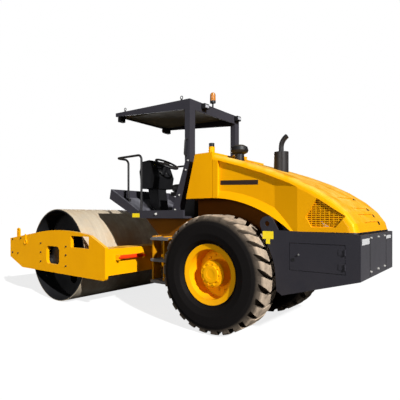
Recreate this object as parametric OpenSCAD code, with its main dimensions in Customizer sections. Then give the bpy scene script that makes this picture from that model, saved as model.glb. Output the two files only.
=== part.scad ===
// Single-drum soil roller with an open canopy.
// X runs forward to the drum, Y to the left, Z up. The origin is on the floor,
// under the middle of the machine's length and width. Millimetres.

/* [Machine] */
// Distance from the rear axle to the drum axle
wheelbase = 2990; // [2900:10:3100]
// Width over the drum frame's side plates
machine_w = 2300; // [2280:10:2400]
// Reach of the drum frame ahead of the drum axle
nose_reach = 1450; // [1400:10:1550]
// Reach of the rear box behind the rear axle
tail_reach = 1630; // [1600:10:1700]
// Clearance round pins, rods and seated pieces
seat_gap = 0.3; // [0.2:0.05:0.5]
// Gap between pieces that move past each other
run_gap = 6; // [5:1:12]

/* [Drum] */
// Diameter of the drum
drum_d = 1540; // [1480:10:1580]
// Gap between the drum and each side plate
drum_side_gap = 30; // [20:1:60]
// Wall of the drum's shell
drum_wall = 28; // [20:1:40]
// Depth of each open end, down to the disc
drum_recess = 330; // [280:10:380]
// Thickness of each disc
drum_disc_t = 30; // [20:1:40]
// Radius of the drum's bearing bore
drum_shaft_r = 80; // [60:1:95]

/* [Drum frame] */
// Thickness of the side plates
plate_t = 55; // [40:1:60]
// Height of the side plates' lower edge
plate_low_z = 485; // [460:5:520]
// Height of the side plates' highest point
plate_top_z = 1190; // [1150:5:1230]
// Height of the side plates' front edge, at its top
plate_nose_z = 1003; // [960:5:1040]
// Reach of the side plates behind the drum axle
plate_tail = 1350; // [1330:5:1370]
// Depth of the rear cross beam, front to back
rear_beam_d = 300; // [240:10:320]
// Height of the rear cross beam
rear_beam_h = 390; // [340:10:400]
// Depth of the front cross beam, front to back
front_beam_d = 260; // [200:10:300]
// Wall of both cross beams
beam_wall = 25; // [15:1:40]
// Gap between the scrapers and the drum
scraper_gap = 20; // [12:1:30]

/* [Articulation] */
// Distance from the steering pivot to the drum frame's rear edge
knuckle_reach = 340; // [330:5:360]
// Height of the roll axis
pivot_z = 710; // [690:5:730]
// Radius of the steering pin
king_r = 45; // [35:1:55]
// Radius of the roll pin
roll_r = 90; // [70:1:100]
// Sideways offset of each steering cylinder's rod eye
steer_arm = 190; // [180:5:200]
// Radius of the steering cylinders' barrels
barrel_r = 45; // [35:1:50]
// Radius of the steering cylinders' rods
rod_r = 25; // [18:1:30]

/* [Wheels] */
// Height of a tyre on its lugs
tyre_d = 1440; // [1400:10:1460]
// Width of a tyre
tyre_w = 500; // [460:10:510]
// Distance between the tyres' middles
track = 1470; // [1450:10:1520]
// Diameter of the rim's flange
rim_d = 736; // [700:2:760]
// Radius of the axle's spindle
spindle_r = 70; // [55:1:85]
// Number of lugs round a tyre's tread
lug_count = 26; // [22:1:30]
// Depth of the grooves between the lugs
groove_depth = 64; // [40:1:70]

/* [Rear body] */
// Half width of the rear box
box_half_w = 740; // [730:5:770]
// Height of the rear box's deck
deck_z = 1235; // [1200:5:1260]
// Thickness of the rear box's plates
box_t = 20; // [12:1:25]
// Half width of the hood and the tank
hood_half_w = 700; // [680:5:705]
// Distance from the rear axle to the seam between hood and tank
seam_x = 100; // [80:5:120]
// Height of the tank's top
tank_top_z = 2230; // [2150:5:2260]
// Room between a tyre and the wheel arch over it
arch_room = 210; // [190:5:240]
// Wall of the hood
hood_wall = 60; // [45:1:65]
// Radius of the hood's rounded edges
hood_r = 80; // [70:5:100]

/* [Platform] */
// Half width of the driver's platform
deck_half_w = 720; // [700:5:740]
// Height of the platform's floor
floor_z = 1420; // [1410:5:1440]
// Rise from one step to the next
step_rise = 300; // [280:5:310]
// Radius of the handrail tube
rail_r = 17; // [12:1:22]

/* [Canopy] */
// How far the roof's sides lie inside the platform's
roof_inset = 77; // [60:1:100]
// Height of the roof's top at its rear edge
roof_z = 3000; // [2950:5:3050]
// Rise of the roof to its front edge
roof_rise = 60; // [0:5:80]
// Length of the roof
roof_l = 1490; // [1400:10:1550]
// Width of a canopy post
post_w = 120; // [80:5:150]

/* [Hidden] */
$fn = 64;
far = 3000;

paint_yellow = "#F2A900";
paint_gray = "#34343A";
rubber_black = "#1C1A1A";
steel = "#A59A8B";

rear_axle_x = (tail_reach - wheelbase - nose_reach) / 2;
half_w = machine_w / 2;
plate_in = half_w - plate_t;
drum_r = drum_d / 2;
drum_w = 2 * (plate_in - drum_side_gap);
tyre_r = tyre_d / 2;
tyre_y = track / 2;

// Puts a shape drawn from the rear axle into the machine's frame.
module place() translate([rear_axle_x, 0, 0]) children();

// Extrudes an outline drawn in X and Z between two values of Y.
module side_profile(y0, y1) translate([0, y1, 0]) rotate([90, 0, 0]) linear_extrude(y1 - y0) children();

// A cylinder along Y between two values of Y, its axis at X and Z.
module bar_y(x, z, r, y0, y1) translate([x, y1, z]) rotate([90, 0, 0]) cylinder(r = r, h = y1 - y0);

// A cylinder along X between two values of X, its axis at Y and Z.
module bar_x(x0, x1, y, z, r) translate([x0, y, z]) rotate([0, 90, 0]) cylinder(r = r, h = x1 - x0);

// A block between two corners.
module block(low, high) translate(low) cube(high - low);

// Draws its children on the left, or mirrored on the right.
module on_side(side) mirror([0, side < 0 ? 1 : 0, 0]) children();

// Room round a tyre, and how far ahead of the axle a piece at some height clears it
tyre_gap = 50;
function clear_x(z) = sqrt(max(0, (tyre_r + tyre_gap) * (tyre_r + tyre_gap) - (z - tyre_r) * (z - tyre_r)));

// Drum frame sizes, from the rear axle
drum_x = wheelbase;
plate_tail_x = drum_x - plate_tail;
plate_nose_x = drum_x + nose_reach;
beam_low_z = pivot_z - rear_beam_h * 0.4;
beam_top_z = beam_low_z + rear_beam_h;
rear_beam_x = plate_tail_x + rear_beam_d;
front_beam_x = plate_nose_x - front_beam_d;
plate_nose_low_z = 655;
plate_tail_top_z = 965;
plate_chamfer_x = 450;
plate_corner_r = 45;
plate_arc_front = 540;
plate_arc_rear = 1000;
plate_arc_sag = 62;
front_beam_low_z = 690;
front_beam_top_z = 960;
hole_w = 380;
hole_h = 300;
hole_r = 70;
window_x0 = -970;
window_x1 = -510;
window_z0 = 925;
window_z1 = 1110;
eye_set = 270;
eye_x = nose_reach - eye_set;
eye_root = 20;
eye_r = 48;
eye_bore_r = 24;
eye_rise = 115;

// Points of an arc from one angle to another.
function arc(x, z, r, a0, a1, n = 8) = [for (i = [0:n]) let (a = a0 + (a1 - a0) * i / n)
  [x + r * cos(a), z + r * sin(a)]];

// Side plate outline: a long crowned top edge, a raked nose and a rounded tail.
crown_half = (plate_arc_front + plate_arc_rear) / 2;
crown_r = (crown_half * crown_half + plate_arc_sag * plate_arc_sag) / (2 * plate_arc_sag);
crown_x = drum_x + (plate_arc_front - plate_arc_rear) / 2;
crown_a = asin(crown_half / crown_r);
function crown_z(x) = plate_top_z - crown_r + sqrt(crown_r * crown_r - (x - crown_x) * (x - crown_x));
function nose_line_z(x) = let (x0 = drum_x + plate_arc_front, t = (x - x0) / (plate_nose_x - x0))
  crown_z(x0) * (1 - t) + plate_nose_z * t;

module rounded_box_2d(w, h, r) {
  square([w - 2 * r, h], center = true);
  square([w, h - 2 * r], center = true);
  for (sx = [-1, 1], sz = [-1, 1]) translate([sx * (w / 2 - r), sz * (h / 2 - r)]) circle(r = r);
}

module plate_outline() {
  polygon(concat(
    [[plate_nose_x, plate_nose_low_z], [plate_nose_x, plate_nose_z]],
    arc(crown_x, plate_top_z - crown_r, crown_r, 90 - crown_a, 90 + crown_a, 12),
    [[plate_tail_x, plate_tail_top_z]],
    arc(plate_tail_x + plate_corner_r, plate_low_z + plate_corner_r, plate_corner_r, 180, 270, 6),
    [[plate_nose_x - plate_chamfer_x, plate_low_z]]
  ));
}

module side_plate(side) {
  eye_px = drum_x + eye_x;
  eye_z = nose_line_z(eye_px) + eye_rise;
  color(paint_yellow) place() on_side(side) difference() {
    union() {
      side_profile(plate_in, half_w) plate_outline();
      side_profile(plate_in + plate_t / 4, half_w - plate_t / 4) {
        translate([eye_px, eye_z]) circle(r = eye_r);
        translate([eye_px - eye_r, eye_z - eye_rise - eye_root]) square([2 * eye_r, eye_rise + eye_root]);
      }
    }
    side_profile(0, far) translate([drum_x, drum_r]) rounded_box_2d(hole_w, hole_h, hole_r);
    side_profile(0, far) translate([drum_x + window_x0, window_z0])
      square([window_x1 - window_x0, window_z1 - window_z0]);
    bar_y(eye_px, eye_z, eye_bore_r, 0, far);
  }
}
module side_plate_left() side_plate(1);
module side_plate_right() side_plate(-1);

// A hollow box beam between the side plates.
module cross_beam(x0, x1, z0, z1) difference() {
  block([x0, -plate_in, z0], [x1, plate_in, z1]);
  block([x0 + beam_wall, -far, z0 + beam_wall], [x1 - beam_wall, far, z1 - beam_wall]);
}

module front_beam() color(paint_yellow) place()
  cross_beam(front_beam_x, plate_nose_x, front_beam_low_z, front_beam_top_z);

lock_r = 32;
lock_l = 490;
lock_y1 = plate_in - 165;
lock_y0 = lock_y1 - lock_l;
lock_z = pivot_z + 102;
lock_gap = 10;
lock_x = plate_tail_x - lock_r - lock_gap;
lock_lug_t = 22;
lock_lug_r = lock_r + 8;
roll_boss = 45;

module rear_beam() color(paint_yellow) place() {
  difference() {
    union() {
      cross_beam(plate_tail_x, rear_beam_x, beam_low_z, beam_top_z);
      bar_x(plate_tail_x, rear_beam_x, 0, pivot_z, roll_r + roll_boss);
    }
    bar_x(plate_tail_x - 1, rear_beam_x + 1, 0, pivot_z, roll_r + seat_gap);
  }
  for (y = [lock_y0 - lock_lug_t, lock_y1])
    block([lock_x - lock_lug_r, y, lock_z - lock_lug_r], [plate_tail_x, y + lock_lug_t, lock_z + lock_lug_r]);
}

module lock_bar() color("#D8421E") place() bar_y(lock_x, lock_z, lock_r, lock_y0, lock_y1);

scraper_t = 16;
scraper_inset = 60;
scraper_half = drum_w / 2 - scraper_inset;
rear_scraper_z = 620;
front_scraper_z = 760;
function drum_half_chord(z) = sqrt(drum_r * drum_r - (z - drum_r) * (z - drum_r));
module scrapers() color(paint_yellow) place() {
  block([rear_beam_x, -scraper_half, rear_scraper_z],
    [drum_x - drum_half_chord(rear_scraper_z) - scraper_gap, scraper_half, rear_scraper_z + scraper_t]);
  block([drum_x + drum_r + scraper_gap, -scraper_half, front_scraper_z],
    [front_beam_x, scraper_half, front_scraper_z + scraper_t]);
}

// Drum mount: motor housing and shaft on a plate, hung from the side plate on rubber buffers
mount_plate_r = 330;
mount_plate_t = 40;
buffer_r = 55;
buffer_pcd_r = 250;
motor_r = 130;
disc_y = drum_w / 2 - drum_recess;
drum_hub_l = 90;
drum_hub_wall = 60;
mount_room = 60;
mount_y0 = plate_in - mount_room;
module drum_mount(side) color(paint_gray) place() on_side(side) {
  for (a = [30:60:330])
    bar_y(drum_x + buffer_pcd_r * cos(a), drum_r + buffer_pcd_r * sin(a), buffer_r, mount_y0, plate_in);
  bar_y(drum_x, drum_r, mount_plate_r, mount_y0 - mount_plate_t, mount_y0);
  bar_y(drum_x, drum_r, motor_r, disc_y + run_gap, mount_y0 - mount_plate_t);
  bar_y(drum_x, drum_r, drum_shaft_r, disc_y - drum_hub_l, disc_y + run_gap);
}
module drum_mount_left() drum_mount(1);
module drum_mount_right() drum_mount(-1);

hand_hole_r = 95;
hand_hole_pcd_r = 430;
module drum() color(steel) place() difference() {
  union() {
    difference() {
      bar_y(drum_x, drum_r, drum_r, -drum_w / 2, drum_w / 2);
      bar_y(drum_x, drum_r, drum_r - drum_wall, -far, far);
    }
    for (side = [-1, 1]) on_side(side) {
      bar_y(drum_x, drum_r, drum_r - drum_wall / 2, disc_y - drum_disc_t, disc_y);
      bar_y(drum_x, drum_r, drum_shaft_r + drum_hub_wall, disc_y - drum_hub_l, disc_y);
    }
  }
  bar_y(drum_x, drum_r, drum_shaft_r + seat_gap, -far, far);
  for (a = [30:120:270])
    bar_y(drum_x + hand_hole_pcd_r * cos(a), drum_r + hand_hole_pcd_r * sin(a), hand_hole_r, -far, far);
}

// Articulation: ears on the rear frame hold the king pin, and the knuckle rolls in the rear beam
ear_t = 40;
ear_gap = 270;
ear_r = 115;
ear_top_z = pivot_z + ear_gap / 2;
ear_low_z = pivot_z - ear_gap / 2;
knuckle_r = 105;
knuckle_h = ear_gap - 2 * run_gap;
flange_r = 165;
flange_t = 30;
flange_x = plate_tail_x - run_gap - flange_t;
clevis_t = 20;
clevis_gap = 60;
clevis_r = 48;
eye_ring_r = 40;
eye_pin_r = 20;
eye_h = 54;
knuckle_web = 95;
pin_cap_h = 12;
pin_cap_r = eye_pin_r + 6;
pivot_x = plate_tail_x - knuckle_reach;
wall_y = tyre_y - tyre_w / 2 - 35;
bulkhead_share = 5 / 13;
bulkhead_x = pivot_x * bulkhead_share;
cyl_share = 0.1125;
cyl_x0 = bulkhead_x + (pivot_x - bulkhead_x) * cyl_share;
cyl_y0 = wall_y - 120;

module king_axis() translate([pivot_x, 0, pivot_z]) children();

module knuckle() color(paint_yellow) place() {
  king_axis() {
    cylinder(r = knuckle_r, h = knuckle_h, center = true);
    cylinder(r = king_r, h = ear_gap + 2 * ear_t, center = true);
  }
  block([pivot_x, -knuckle_r, pivot_z - knuckle_web], [flange_x, knuckle_r, pivot_z + knuckle_web]);
  bar_x(flange_x, flange_x + flange_t, 0, pivot_z, flange_r);
  bar_x(flange_x + flange_t, rear_beam_x - run_gap, 0, pivot_z, roll_r);
  for (side = [-1, 1]) on_side(side) {
    for (z = [pivot_z + clevis_gap / 2, pivot_z - clevis_gap / 2 - clevis_t]) {
      translate([pivot_x, steer_arm, z]) cylinder(r = clevis_r, h = clevis_t);
      block([pivot_x - clevis_r, 0, z], [pivot_x + clevis_r, steer_arm, z + clevis_t]);
    }
    for (z = [pivot_z + clevis_gap / 2 + clevis_t, pivot_z - clevis_gap / 2 - clevis_t - pin_cap_h])
      translate([pivot_x, steer_arm, z]) cylinder(r = pin_cap_r, h = pin_cap_h);
  }
}

// Steering cylinders: each barrel swings on the frame and its rod reaches the knuckle's clevis
cyl_dx = pivot_x - cyl_x0;
cyl_dy = steer_arm - cyl_y0;
cyl_len = sqrt(cyl_dx * cyl_dx + cyl_dy * cyl_dy);
cyl_a = atan2(cyl_dy, cyl_dx);
barrel_x = 75;
bore_start = 100;
barrel_l = cyl_len * 0.65;
rod_tail = bore_start + (cyl_len - bore_start) * 0.185;

module along_cylinder(side) place() on_side(side)
  translate([cyl_x0, cyl_y0, pivot_z]) rotate([0, 0, cyl_a]) children();

module barrel(side) color(paint_gray) along_cylinder(side) difference() {
  union() {
    translate([0, 0, -eye_h / 2]) cylinder(r = eye_ring_r, h = eye_h);
    rotate([0, 90, 0]) cylinder(r = eye_h / 2, h = bore_start);
    translate([barrel_x, 0, 0]) rotate([0, 90, 0]) cylinder(r = barrel_r, h = barrel_l - barrel_x);
  }
  translate([0, 0, -far / 2]) cylinder(r = eye_pin_r + seat_gap, h = far);
  translate([bore_start, 0, 0]) rotate([0, 90, 0]) cylinder(r = rod_r + seat_gap, h = barrel_l);
}
module barrel_left() barrel(1);
module barrel_right() barrel(-1);

module rod(side) color("#C9CCD0") along_cylinder(side) difference() {
  union() {
    translate([rod_tail, 0, 0]) rotate([0, 90, 0]) cylinder(r = rod_r, h = cyl_len - rod_tail);
    translate([cyl_len, 0, -eye_h / 2]) cylinder(r = eye_ring_r, h = eye_h);
  }
  translate([cyl_len, 0, -far / 2]) cylinder(r = eye_pin_r + seat_gap, h = far);
}
module rod_left() rod(1);
module rod_right() rod(-1);

// Rear frame: two walls, a floor, a bulkhead and a nose box with the king pin's ears
wall_t = 20;
frame_low_z = tyre_r + 160;
arch_r = tyre_d + arch_room;
tank_low_z = arch_r;
frame_tail_x = -1000;
wall_step_x = -560;
nose_half_w = 170;
nose_low_z = ear_low_z - ear_t;
nose_top_z = ear_top_z + ear_t;
nose_x = bulkhead_x + (pivot_x - bulkhead_x) * 0.625;
ear_neck = 80;
ear_root = 20;
floor_end_x = bulkhead_x - 150;
keel_x = bulkhead_x - 60;
lug_gap = 2;
wall_rake = 120;

module wall_outline() polygon([
  [frame_tail_x, frame_low_z], [floor_end_x, frame_low_z], [keel_x, nose_low_z],
  [bulkhead_x, nose_low_z], [bulkhead_x, tank_low_z], [wall_step_x, tank_low_z],
  [wall_step_x - wall_rake, deck_z], [frame_tail_x, deck_z]
]);

module king_ear(z) difference() {
  union() {
    block([nose_x - ear_root, -nose_half_w, z], [pivot_x - ear_neck, nose_half_w, z + ear_t]);
    translate([pivot_x, 0, z]) cylinder(r = ear_r, h = ear_t);
    block([pivot_x - ear_neck - 1, -ear_r, z], [pivot_x, ear_r, z + ear_t]);
  }
  translate([pivot_x, 0, z - 1]) cylinder(r = king_r + seat_gap, h = ear_t + 2);
}

module rear_frame() color(paint_yellow) place() {
  for (side = [-1, 1]) on_side(side) {
    side_profile(wall_y - wall_t, wall_y) wall_outline();
    for (z = [pivot_z + eye_h / 2 + lug_gap, pivot_z - eye_h / 2 - lug_gap - clevis_t])
      block([bulkhead_x, cyl_y0 - clevis_r, z], [cyl_x0 + clevis_r, cyl_y0 + clevis_r, z + clevis_t]);
    translate([cyl_x0, cyl_y0, pivot_z - eye_h / 2 - lug_gap])
      cylinder(r = eye_pin_r, h = eye_h + 2 * lug_gap);
  }
  block([bulkhead_x - wall_t, -wall_y + 1, nose_low_z], [bulkhead_x, wall_y - 1, tank_low_z]);
  block([frame_tail_x, -wall_y + 1, frame_low_z], [floor_end_x, wall_y - 1, frame_low_z + wall_t]);
  difference() {
    block([bulkhead_x - 1, -nose_half_w, nose_low_z], [nose_x, nose_half_w, nose_top_z]);
    block([bulkhead_x - 2, -nose_half_w + wall_t, nose_low_z + wall_t],
      [nose_x - wall_t, nose_half_w - wall_t, nose_top_z - wall_t]);
  }
  king_ear(ear_top_z);
  king_ear(ear_low_z - ear_t);
}

// Rear axle: a beam with a differential housing, pads up to the frame, and a spindle each end
axle_r = 105;
axle_half = tyre_y - tyre_w / 2 - 15;
diff_r = 185;
diff_half = 190;
diff_neck = 40;
pad_half_x = 120;
pad_w = 110;
spindle_half = tyre_y + 60;
module rear_axle() color(paint_gray) place() {
  bar_y(0, tyre_r, axle_r, -axle_half, axle_half);
  bar_y(0, tyre_r, spindle_r, -spindle_half, spindle_half);
  bar_y(0, tyre_r, diff_r - diff_neck, -diff_half, diff_half);
  intersection() {
    translate([0, 0, tyre_r]) sphere(r = diff_r);
    block([-far, -far, 0], [far, far, frame_low_z - run_gap]);
  }
  for (side = [-1, 1]) on_side(side)
    block([-pad_half_x, wall_y - pad_w, tyre_r], [pad_half_x, wall_y, frame_low_z]);
}

// Rear box: side panels with lashing eyes and a hinged door each, round a welded tail
box_in = box_half_w - box_t;
panel_low_z = 555;
panel_tail_low_z = 785;
panel_toe = 40;
panel_front_x = -tyre_r - 80;
panel_eye_x = panel_front_x + 135;
panel_eye_z = deck_z + 100;
panel_eye_bore_r = 30;
panel_ear_r = 85;
panel_top_step = 30;
panel_neck_z = deck_z - 60;
door_x0 = -tail_reach + 140;
door_x1 = panel_front_x - 130;
door_z0 = deck_z - 390;
door_z1 = deck_z - 105;
door_gap = 5;

// The panel's front edge follows the tyre, and its top edge steps up to the eye.
module panel_outline() polygon(concat(
  [[-tail_reach, panel_tail_low_z], [-tail_reach, deck_z], [panel_front_x, deck_z + panel_top_step]],
  [[panel_eye_x - panel_ear_r * 0.8, panel_eye_z + panel_ear_r * 0.6], [panel_eye_x, panel_eye_z]],
  [[panel_eye_x + panel_ear_r * 0.9, panel_eye_z - panel_ear_r * 0.2]],
  [for (i = [0:4]) let (z = panel_neck_z + (tyre_r - panel_neck_z) * i / 4) [-clear_x(z), z]],
  [[panel_front_x + panel_toe / 2, panel_low_z + panel_toe], [panel_front_x - panel_toe, panel_low_z]]
));

module side_panel(side) color(paint_gray) place() on_side(side) difference() {
  union() {
    side_profile(box_in, box_half_w) panel_outline();
    bar_y(panel_eye_x, panel_eye_z, panel_ear_r, box_in, box_half_w);
  }
  bar_y(panel_eye_x, panel_eye_z, panel_eye_bore_r, 0, far);
  side_profile(0, far) translate([door_x0 - door_gap, door_z0 - door_gap])
    square([door_x1 - door_x0 + 2 * door_gap, door_z1 - door_z0 + 2 * door_gap]);
}
module side_panel_left() side_panel(1);
module side_panel_right() side_panel(-1);

hinge_r = 8;
hinge_h = 60;
hinge_inset = 40;
hinge_y = box_half_w + hinge_r;
hinge_x = door_x0 - door_gap / 2;
module door(side) color(paint_gray) place() on_side(side) {
  block([door_x0, box_in + run_gap, door_z0], [door_x1, box_half_w, door_z1]);
  for (z = [door_z0 + hinge_inset, door_z1 - hinge_inset - hinge_h]) {
    translate([hinge_x, hinge_y, z]) cylinder(r = hinge_r - seat_gap, h = hinge_h);
    block([hinge_x, box_half_w, z], [door_x0 + hinge_h, box_half_w + hinge_r / 2, z + hinge_h]);
  }
}
module door_left() door(1);
module door_right() door(-1);

tail_plate_t = 30;
deck_strip = 110;
belly_drop = 190;
belly_z = frame_low_z - belly_drop;
module rear_box() color(paint_gray) place() {
  block([-tail_reach, -box_in, panel_tail_low_z], [-tail_reach + tail_plate_t, box_in, deck_z]);
  block([frame_tail_x - box_t, -box_in, frame_low_z], [frame_tail_x, box_in, deck_z]);
  difference() {
    block([-tail_reach + tail_plate_t - 1, -box_in, deck_z - box_t],
      [frame_tail_x - box_t + 1, box_in, deck_z]);
    block([-tail_reach + tail_plate_t + deck_strip, -box_in + deck_strip, 0],
      [frame_tail_x - box_t - deck_strip, box_in - deck_strip, far]);
  }
  side_profile(-box_in, box_in) polygon([
    [-tail_reach + 1, panel_tail_low_z], [-tail_reach + 1, panel_tail_low_z + box_t],
    [frame_tail_x, belly_z + box_t], [frame_tail_x, belly_z]
  ]);
  block([frame_tail_x - box_t, -box_in, belly_z], [frame_tail_x, box_in, frame_low_z]);
}

engine_x0 = frame_tail_x + 120;
engine_x1 = seam_x - 220;
engine_half_w = wall_y - 140;
engine_top_z = deck_z + 305;
module engine_block() color("#4A4D50") place() block([engine_x0, -engine_half_w, frame_low_z + wall_t],
  [engine_x1, engine_half_w, engine_top_z]);

// Tank with a raked front, its filler, and the cheeks and pins that the hood turns on
tank_low_l = 420;
tank_top_l = 270;
filler_set = 130;
filler_x = seam_x + filler_set;
filler_y = hood_half_w - 180;
filler_r = 42;
filler_h = 100;
cap_r = filler_r - 6;
cap_h = 50;
hinge_set = 3;
hood_pin_x = seam_x - hinge_set;
hood_pin_z = tank_top_z + 24;
hood_pin_r = 8;
hood_pin_y = 110;
strap_w = 60;
strap_gap = 3;
cheek_r = 16;
cheek_t = 12;
cheek_foot = 70;
module tank() color(paint_yellow) place() {
  side_profile(-hood_half_w, hood_half_w) polygon([
    [seam_x, tank_low_z], [seam_x + tank_low_l, tank_low_z], [seam_x + tank_top_l, tank_top_z],
    [seam_x, tank_top_z]
  ]);
  for (side = [-1, 1]) on_side(side) {
    for (y = [hood_pin_y - strap_w / 2 - strap_gap - cheek_t, hood_pin_y + strap_w / 2 + strap_gap]) {
      bar_y(hood_pin_x, hood_pin_z, cheek_r, y, y + cheek_t);
      side_profile(y, y + cheek_t) polygon([
        [seam_x, tank_top_z - 1], [seam_x + cheek_foot, tank_top_z - 1], [hood_pin_x, hood_pin_z + cheek_r],
        [hood_pin_x, hood_pin_z]
      ]);
    }
    bar_y(hood_pin_x, hood_pin_z, hood_pin_r, hood_pin_y - strap_w / 2 - strap_gap - 1,
      hood_pin_y + strap_w / 2 + strap_gap + 1);
  }
}
module filler_neck() color(paint_yellow) place()
  translate([filler_x, filler_y, tank_top_z]) cylinder(r = filler_r, h = filler_h);
module filler_cap() color(rubber_black) place()
  translate([filler_x, filler_y, tank_top_z + filler_h]) cylinder(r = cap_r, h = cap_h);

// Hood: a rounded shell over the engine, open below, cut by the wheel arch.
// Its roof falls in a line that bows down to the tail.
hood_x = seam_x - run_gap;
hood_low_z = deck_z + run_gap;
hood_tail_x = -(tail_reach - hood_r - 25);
hood_l = seam_x - hood_tail_x;
hood_rake = 0.55;
hood_bow = 3;
hood_step = 22;
hood_tail_drop = 22;
hood_steps = 8;
hood_lean_share = 1.05;
hood_axis_z = tank_top_z - hood_step - hood_r * hood_lean_share;
hood_fall = hood_axis_z - deck_z + hood_tail_drop;
hood_sink = 175;
function hood_share(i) = 1 - pow(1 - i / hood_steps, 2);
function hood_line_z(s) = hood_axis_z
  - hood_fall * (hood_rake * s + (1 - hood_rake) * (1 - sqrt(max(0, 1 - pow(s, hood_bow)))));
hood_slope = atan2(hood_line_z(0) - hood_line_z(hood_share(1)), hood_l * hood_share(1));
hood_path = concat(
  [for (i = [0:hood_steps]) let (s = hood_share(i)) [seam_x - hood_l * s, hood_line_z(s)]],
  [[hood_tail_x, deck_z - hood_sink], [seam_x, deck_z - hood_sink]]
);
arch_x = 150;
arch_band = 95;
recess_d = 40;
recess_share = 0.655;
recess_x0 = hood_tail_x * recess_share;
recess_fade_share = 0.72;
recess_fade_x = recess_x0 * recess_fade_share;
recess_x1 = seam_x - 80;
recess_lift = 14;
muffler_x = -500;
muffler_r = 92;
muffler_low_z = tank_top_z - 330;
muffler_top_z = tank_top_z + 20;
pipe_r = 32;
pipe_h = 60;
pipe_bend = 160;
pipe_turn = 60;
cleaner_x = -40;
cleaner_y = 270;
cleaner_r = 62;
cleaner_low_z = tank_top_z - 230;
grille_low_z = deck_z + 68;
grille_peak = [hood_tail_x + 322, deck_z + 372];
grille_tail = [hood_tail_x + 43, deck_z + 184];
grille_heel = [hood_tail_x + 136, grille_low_z];
grille_toe = [hood_tail_x + 380, grille_low_z];
grille_front = [hood_tail_x + 441, deck_z + 178];
grille_t = 14;
grille_set = 25;
grille_bar = 9;
grille_pitch = 22;
grille_post = 6;
grille_post_pitch = 45;
louvre_half_w = 320;
louvre_l = 44;
louvre_d = 16;
louvre_first = 0.835;
louvre_last = 0.985;
louvre_count = 4;

module hood_form(inset) hull() for (p = hood_path, side = [-1, 1])
  translate([p[0], side * (hood_half_w - hood_r), p[1]]) sphere(r = hood_r - inset, $fn = 32);

module hood_recess(side) on_side(side) difference() {
  translate([0, 0, deck_z]) linear_extrude(far) polygon([
    [recess_x1, hood_half_w - recess_d], [recess_x1, hood_half_w + far], [recess_x0, hood_half_w + far],
    [recess_x0, hood_half_w], [recess_fade_x, hood_half_w - recess_d]
  ]);
  side_profile(0, far) polygon(concat(
    [for (i = [0:hood_steps]) let (s = hood_share(i)) [hood_x - hood_l * s, hood_line_z(s) + recess_lift]],
    [[hood_tail_x - far, deck_z], [hood_tail_x - far, far + deck_z], [far, far + deck_z],
    [far, hood_axis_z + recess_lift]]
  ));
  translate([arch_x, hood_half_w, 0]) rotate([90, 0, 0])
    cylinder(r1 = arch_r, r2 = arch_r + arch_band, h = recess_d);
}

// One louvre: a shallow slot across the hood's tail, square to its roof.
module louvre(i) {
  s = louvre_first + (louvre_last - louvre_first) * sqrt(i / (louvre_count - 1));
  step = 0.005;
  fall = atan2(hood_line_z(s) - hood_line_z(s + step), hood_l * step);
  translate([seam_x - hood_l * s, 0, hood_line_z(s)]) rotate([0, -fall, 0])
    block([-louvre_l / 2, -louvre_half_w, hood_r - louvre_d], [louvre_l / 2, louvre_half_w, 2 * hood_r]);
}

module hood() color(paint_yellow) place() difference() {
  hood_form(0);
  hood_form(hood_wall);
  block([hood_x, -far, 0], [far, far, far]);
  block([-far, -far, -far], [far, far, hood_low_z]);
  bar_y(arch_x, 0, arch_r, -far, far);
  for (side = [-1, 1]) hood_recess(side);
  for (i = [0:louvre_count - 1]) louvre(i);
  side_profile(-far, far) polygon([grille_peak, grille_tail, grille_heel, grille_toe, grille_front]);
  translate([muffler_x, 0, 0]) cylinder(r = muffler_r + seat_gap, h = far);
  translate([cleaner_x, cleaner_y, 0]) cylinder(r = cleaner_r + seat_gap, h = far);
}

module hood_grilles() color("#8A5A12") place() for (side = [-1, 1]) on_side(side)
  side_profile(hood_half_w - hood_wall + grille_set, hood_half_w - hood_wall + grille_set + grille_t)
  intersection() {
    polygon([grille_peak, grille_tail, grille_heel, grille_toe, grille_front]);
    union() {
      for (z = [grille_low_z:grille_pitch:grille_peak[1]])
        translate([grille_tail[0] - 1, z]) square([grille_front[0] - grille_tail[0] + 2, grille_bar]);
      for (x = [grille_tail[0] + grille_post_pitch / 2:grille_post_pitch:grille_front[0] - grille_post])
        translate([x, grille_low_z - 1]) square([grille_post, grille_peak[1] - grille_low_z + 2]);
    }
  }

// Two straps on the hood's roof carry the barrels that turn on the tank's pins.
strap_t = 8;
strap_l = 200;
strap_r = 14;
strap_neck = 40;
module hood_hinges() color(paint_yellow) place() for (side = [-1, 1]) on_side(side) difference() {
  roof_z0 = hood_axis_z + (hood_r + seat_gap) / cos(hood_slope);
  fall = tan(hood_slope);
  union() {
    side_profile(hood_pin_y - strap_w / 2, hood_pin_y + strap_w / 2) polygon([
      [hood_pin_x - strap_l, roof_z0 - fall * (strap_l + hinge_set)],
      [hood_pin_x - strap_neck, roof_z0 - fall * (strap_neck + hinge_set) + seat_gap],
      [hood_pin_x, hood_pin_z - strap_r + 1], [hood_pin_x, hood_pin_z],
      [hood_pin_x - strap_neck, roof_z0 - fall * (strap_neck + hinge_set) + 2 * strap_t],
      [hood_pin_x - strap_l, roof_z0 - fall * (strap_l + hinge_set) + strap_t]
    ]);
    bar_y(hood_pin_x, hood_pin_z, strap_r, hood_pin_y - strap_w / 2, hood_pin_y + strap_w / 2);
  }
  bar_y(hood_pin_x, hood_pin_z, hood_pin_r + seat_gap, 0, hood_half_w);
}

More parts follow.
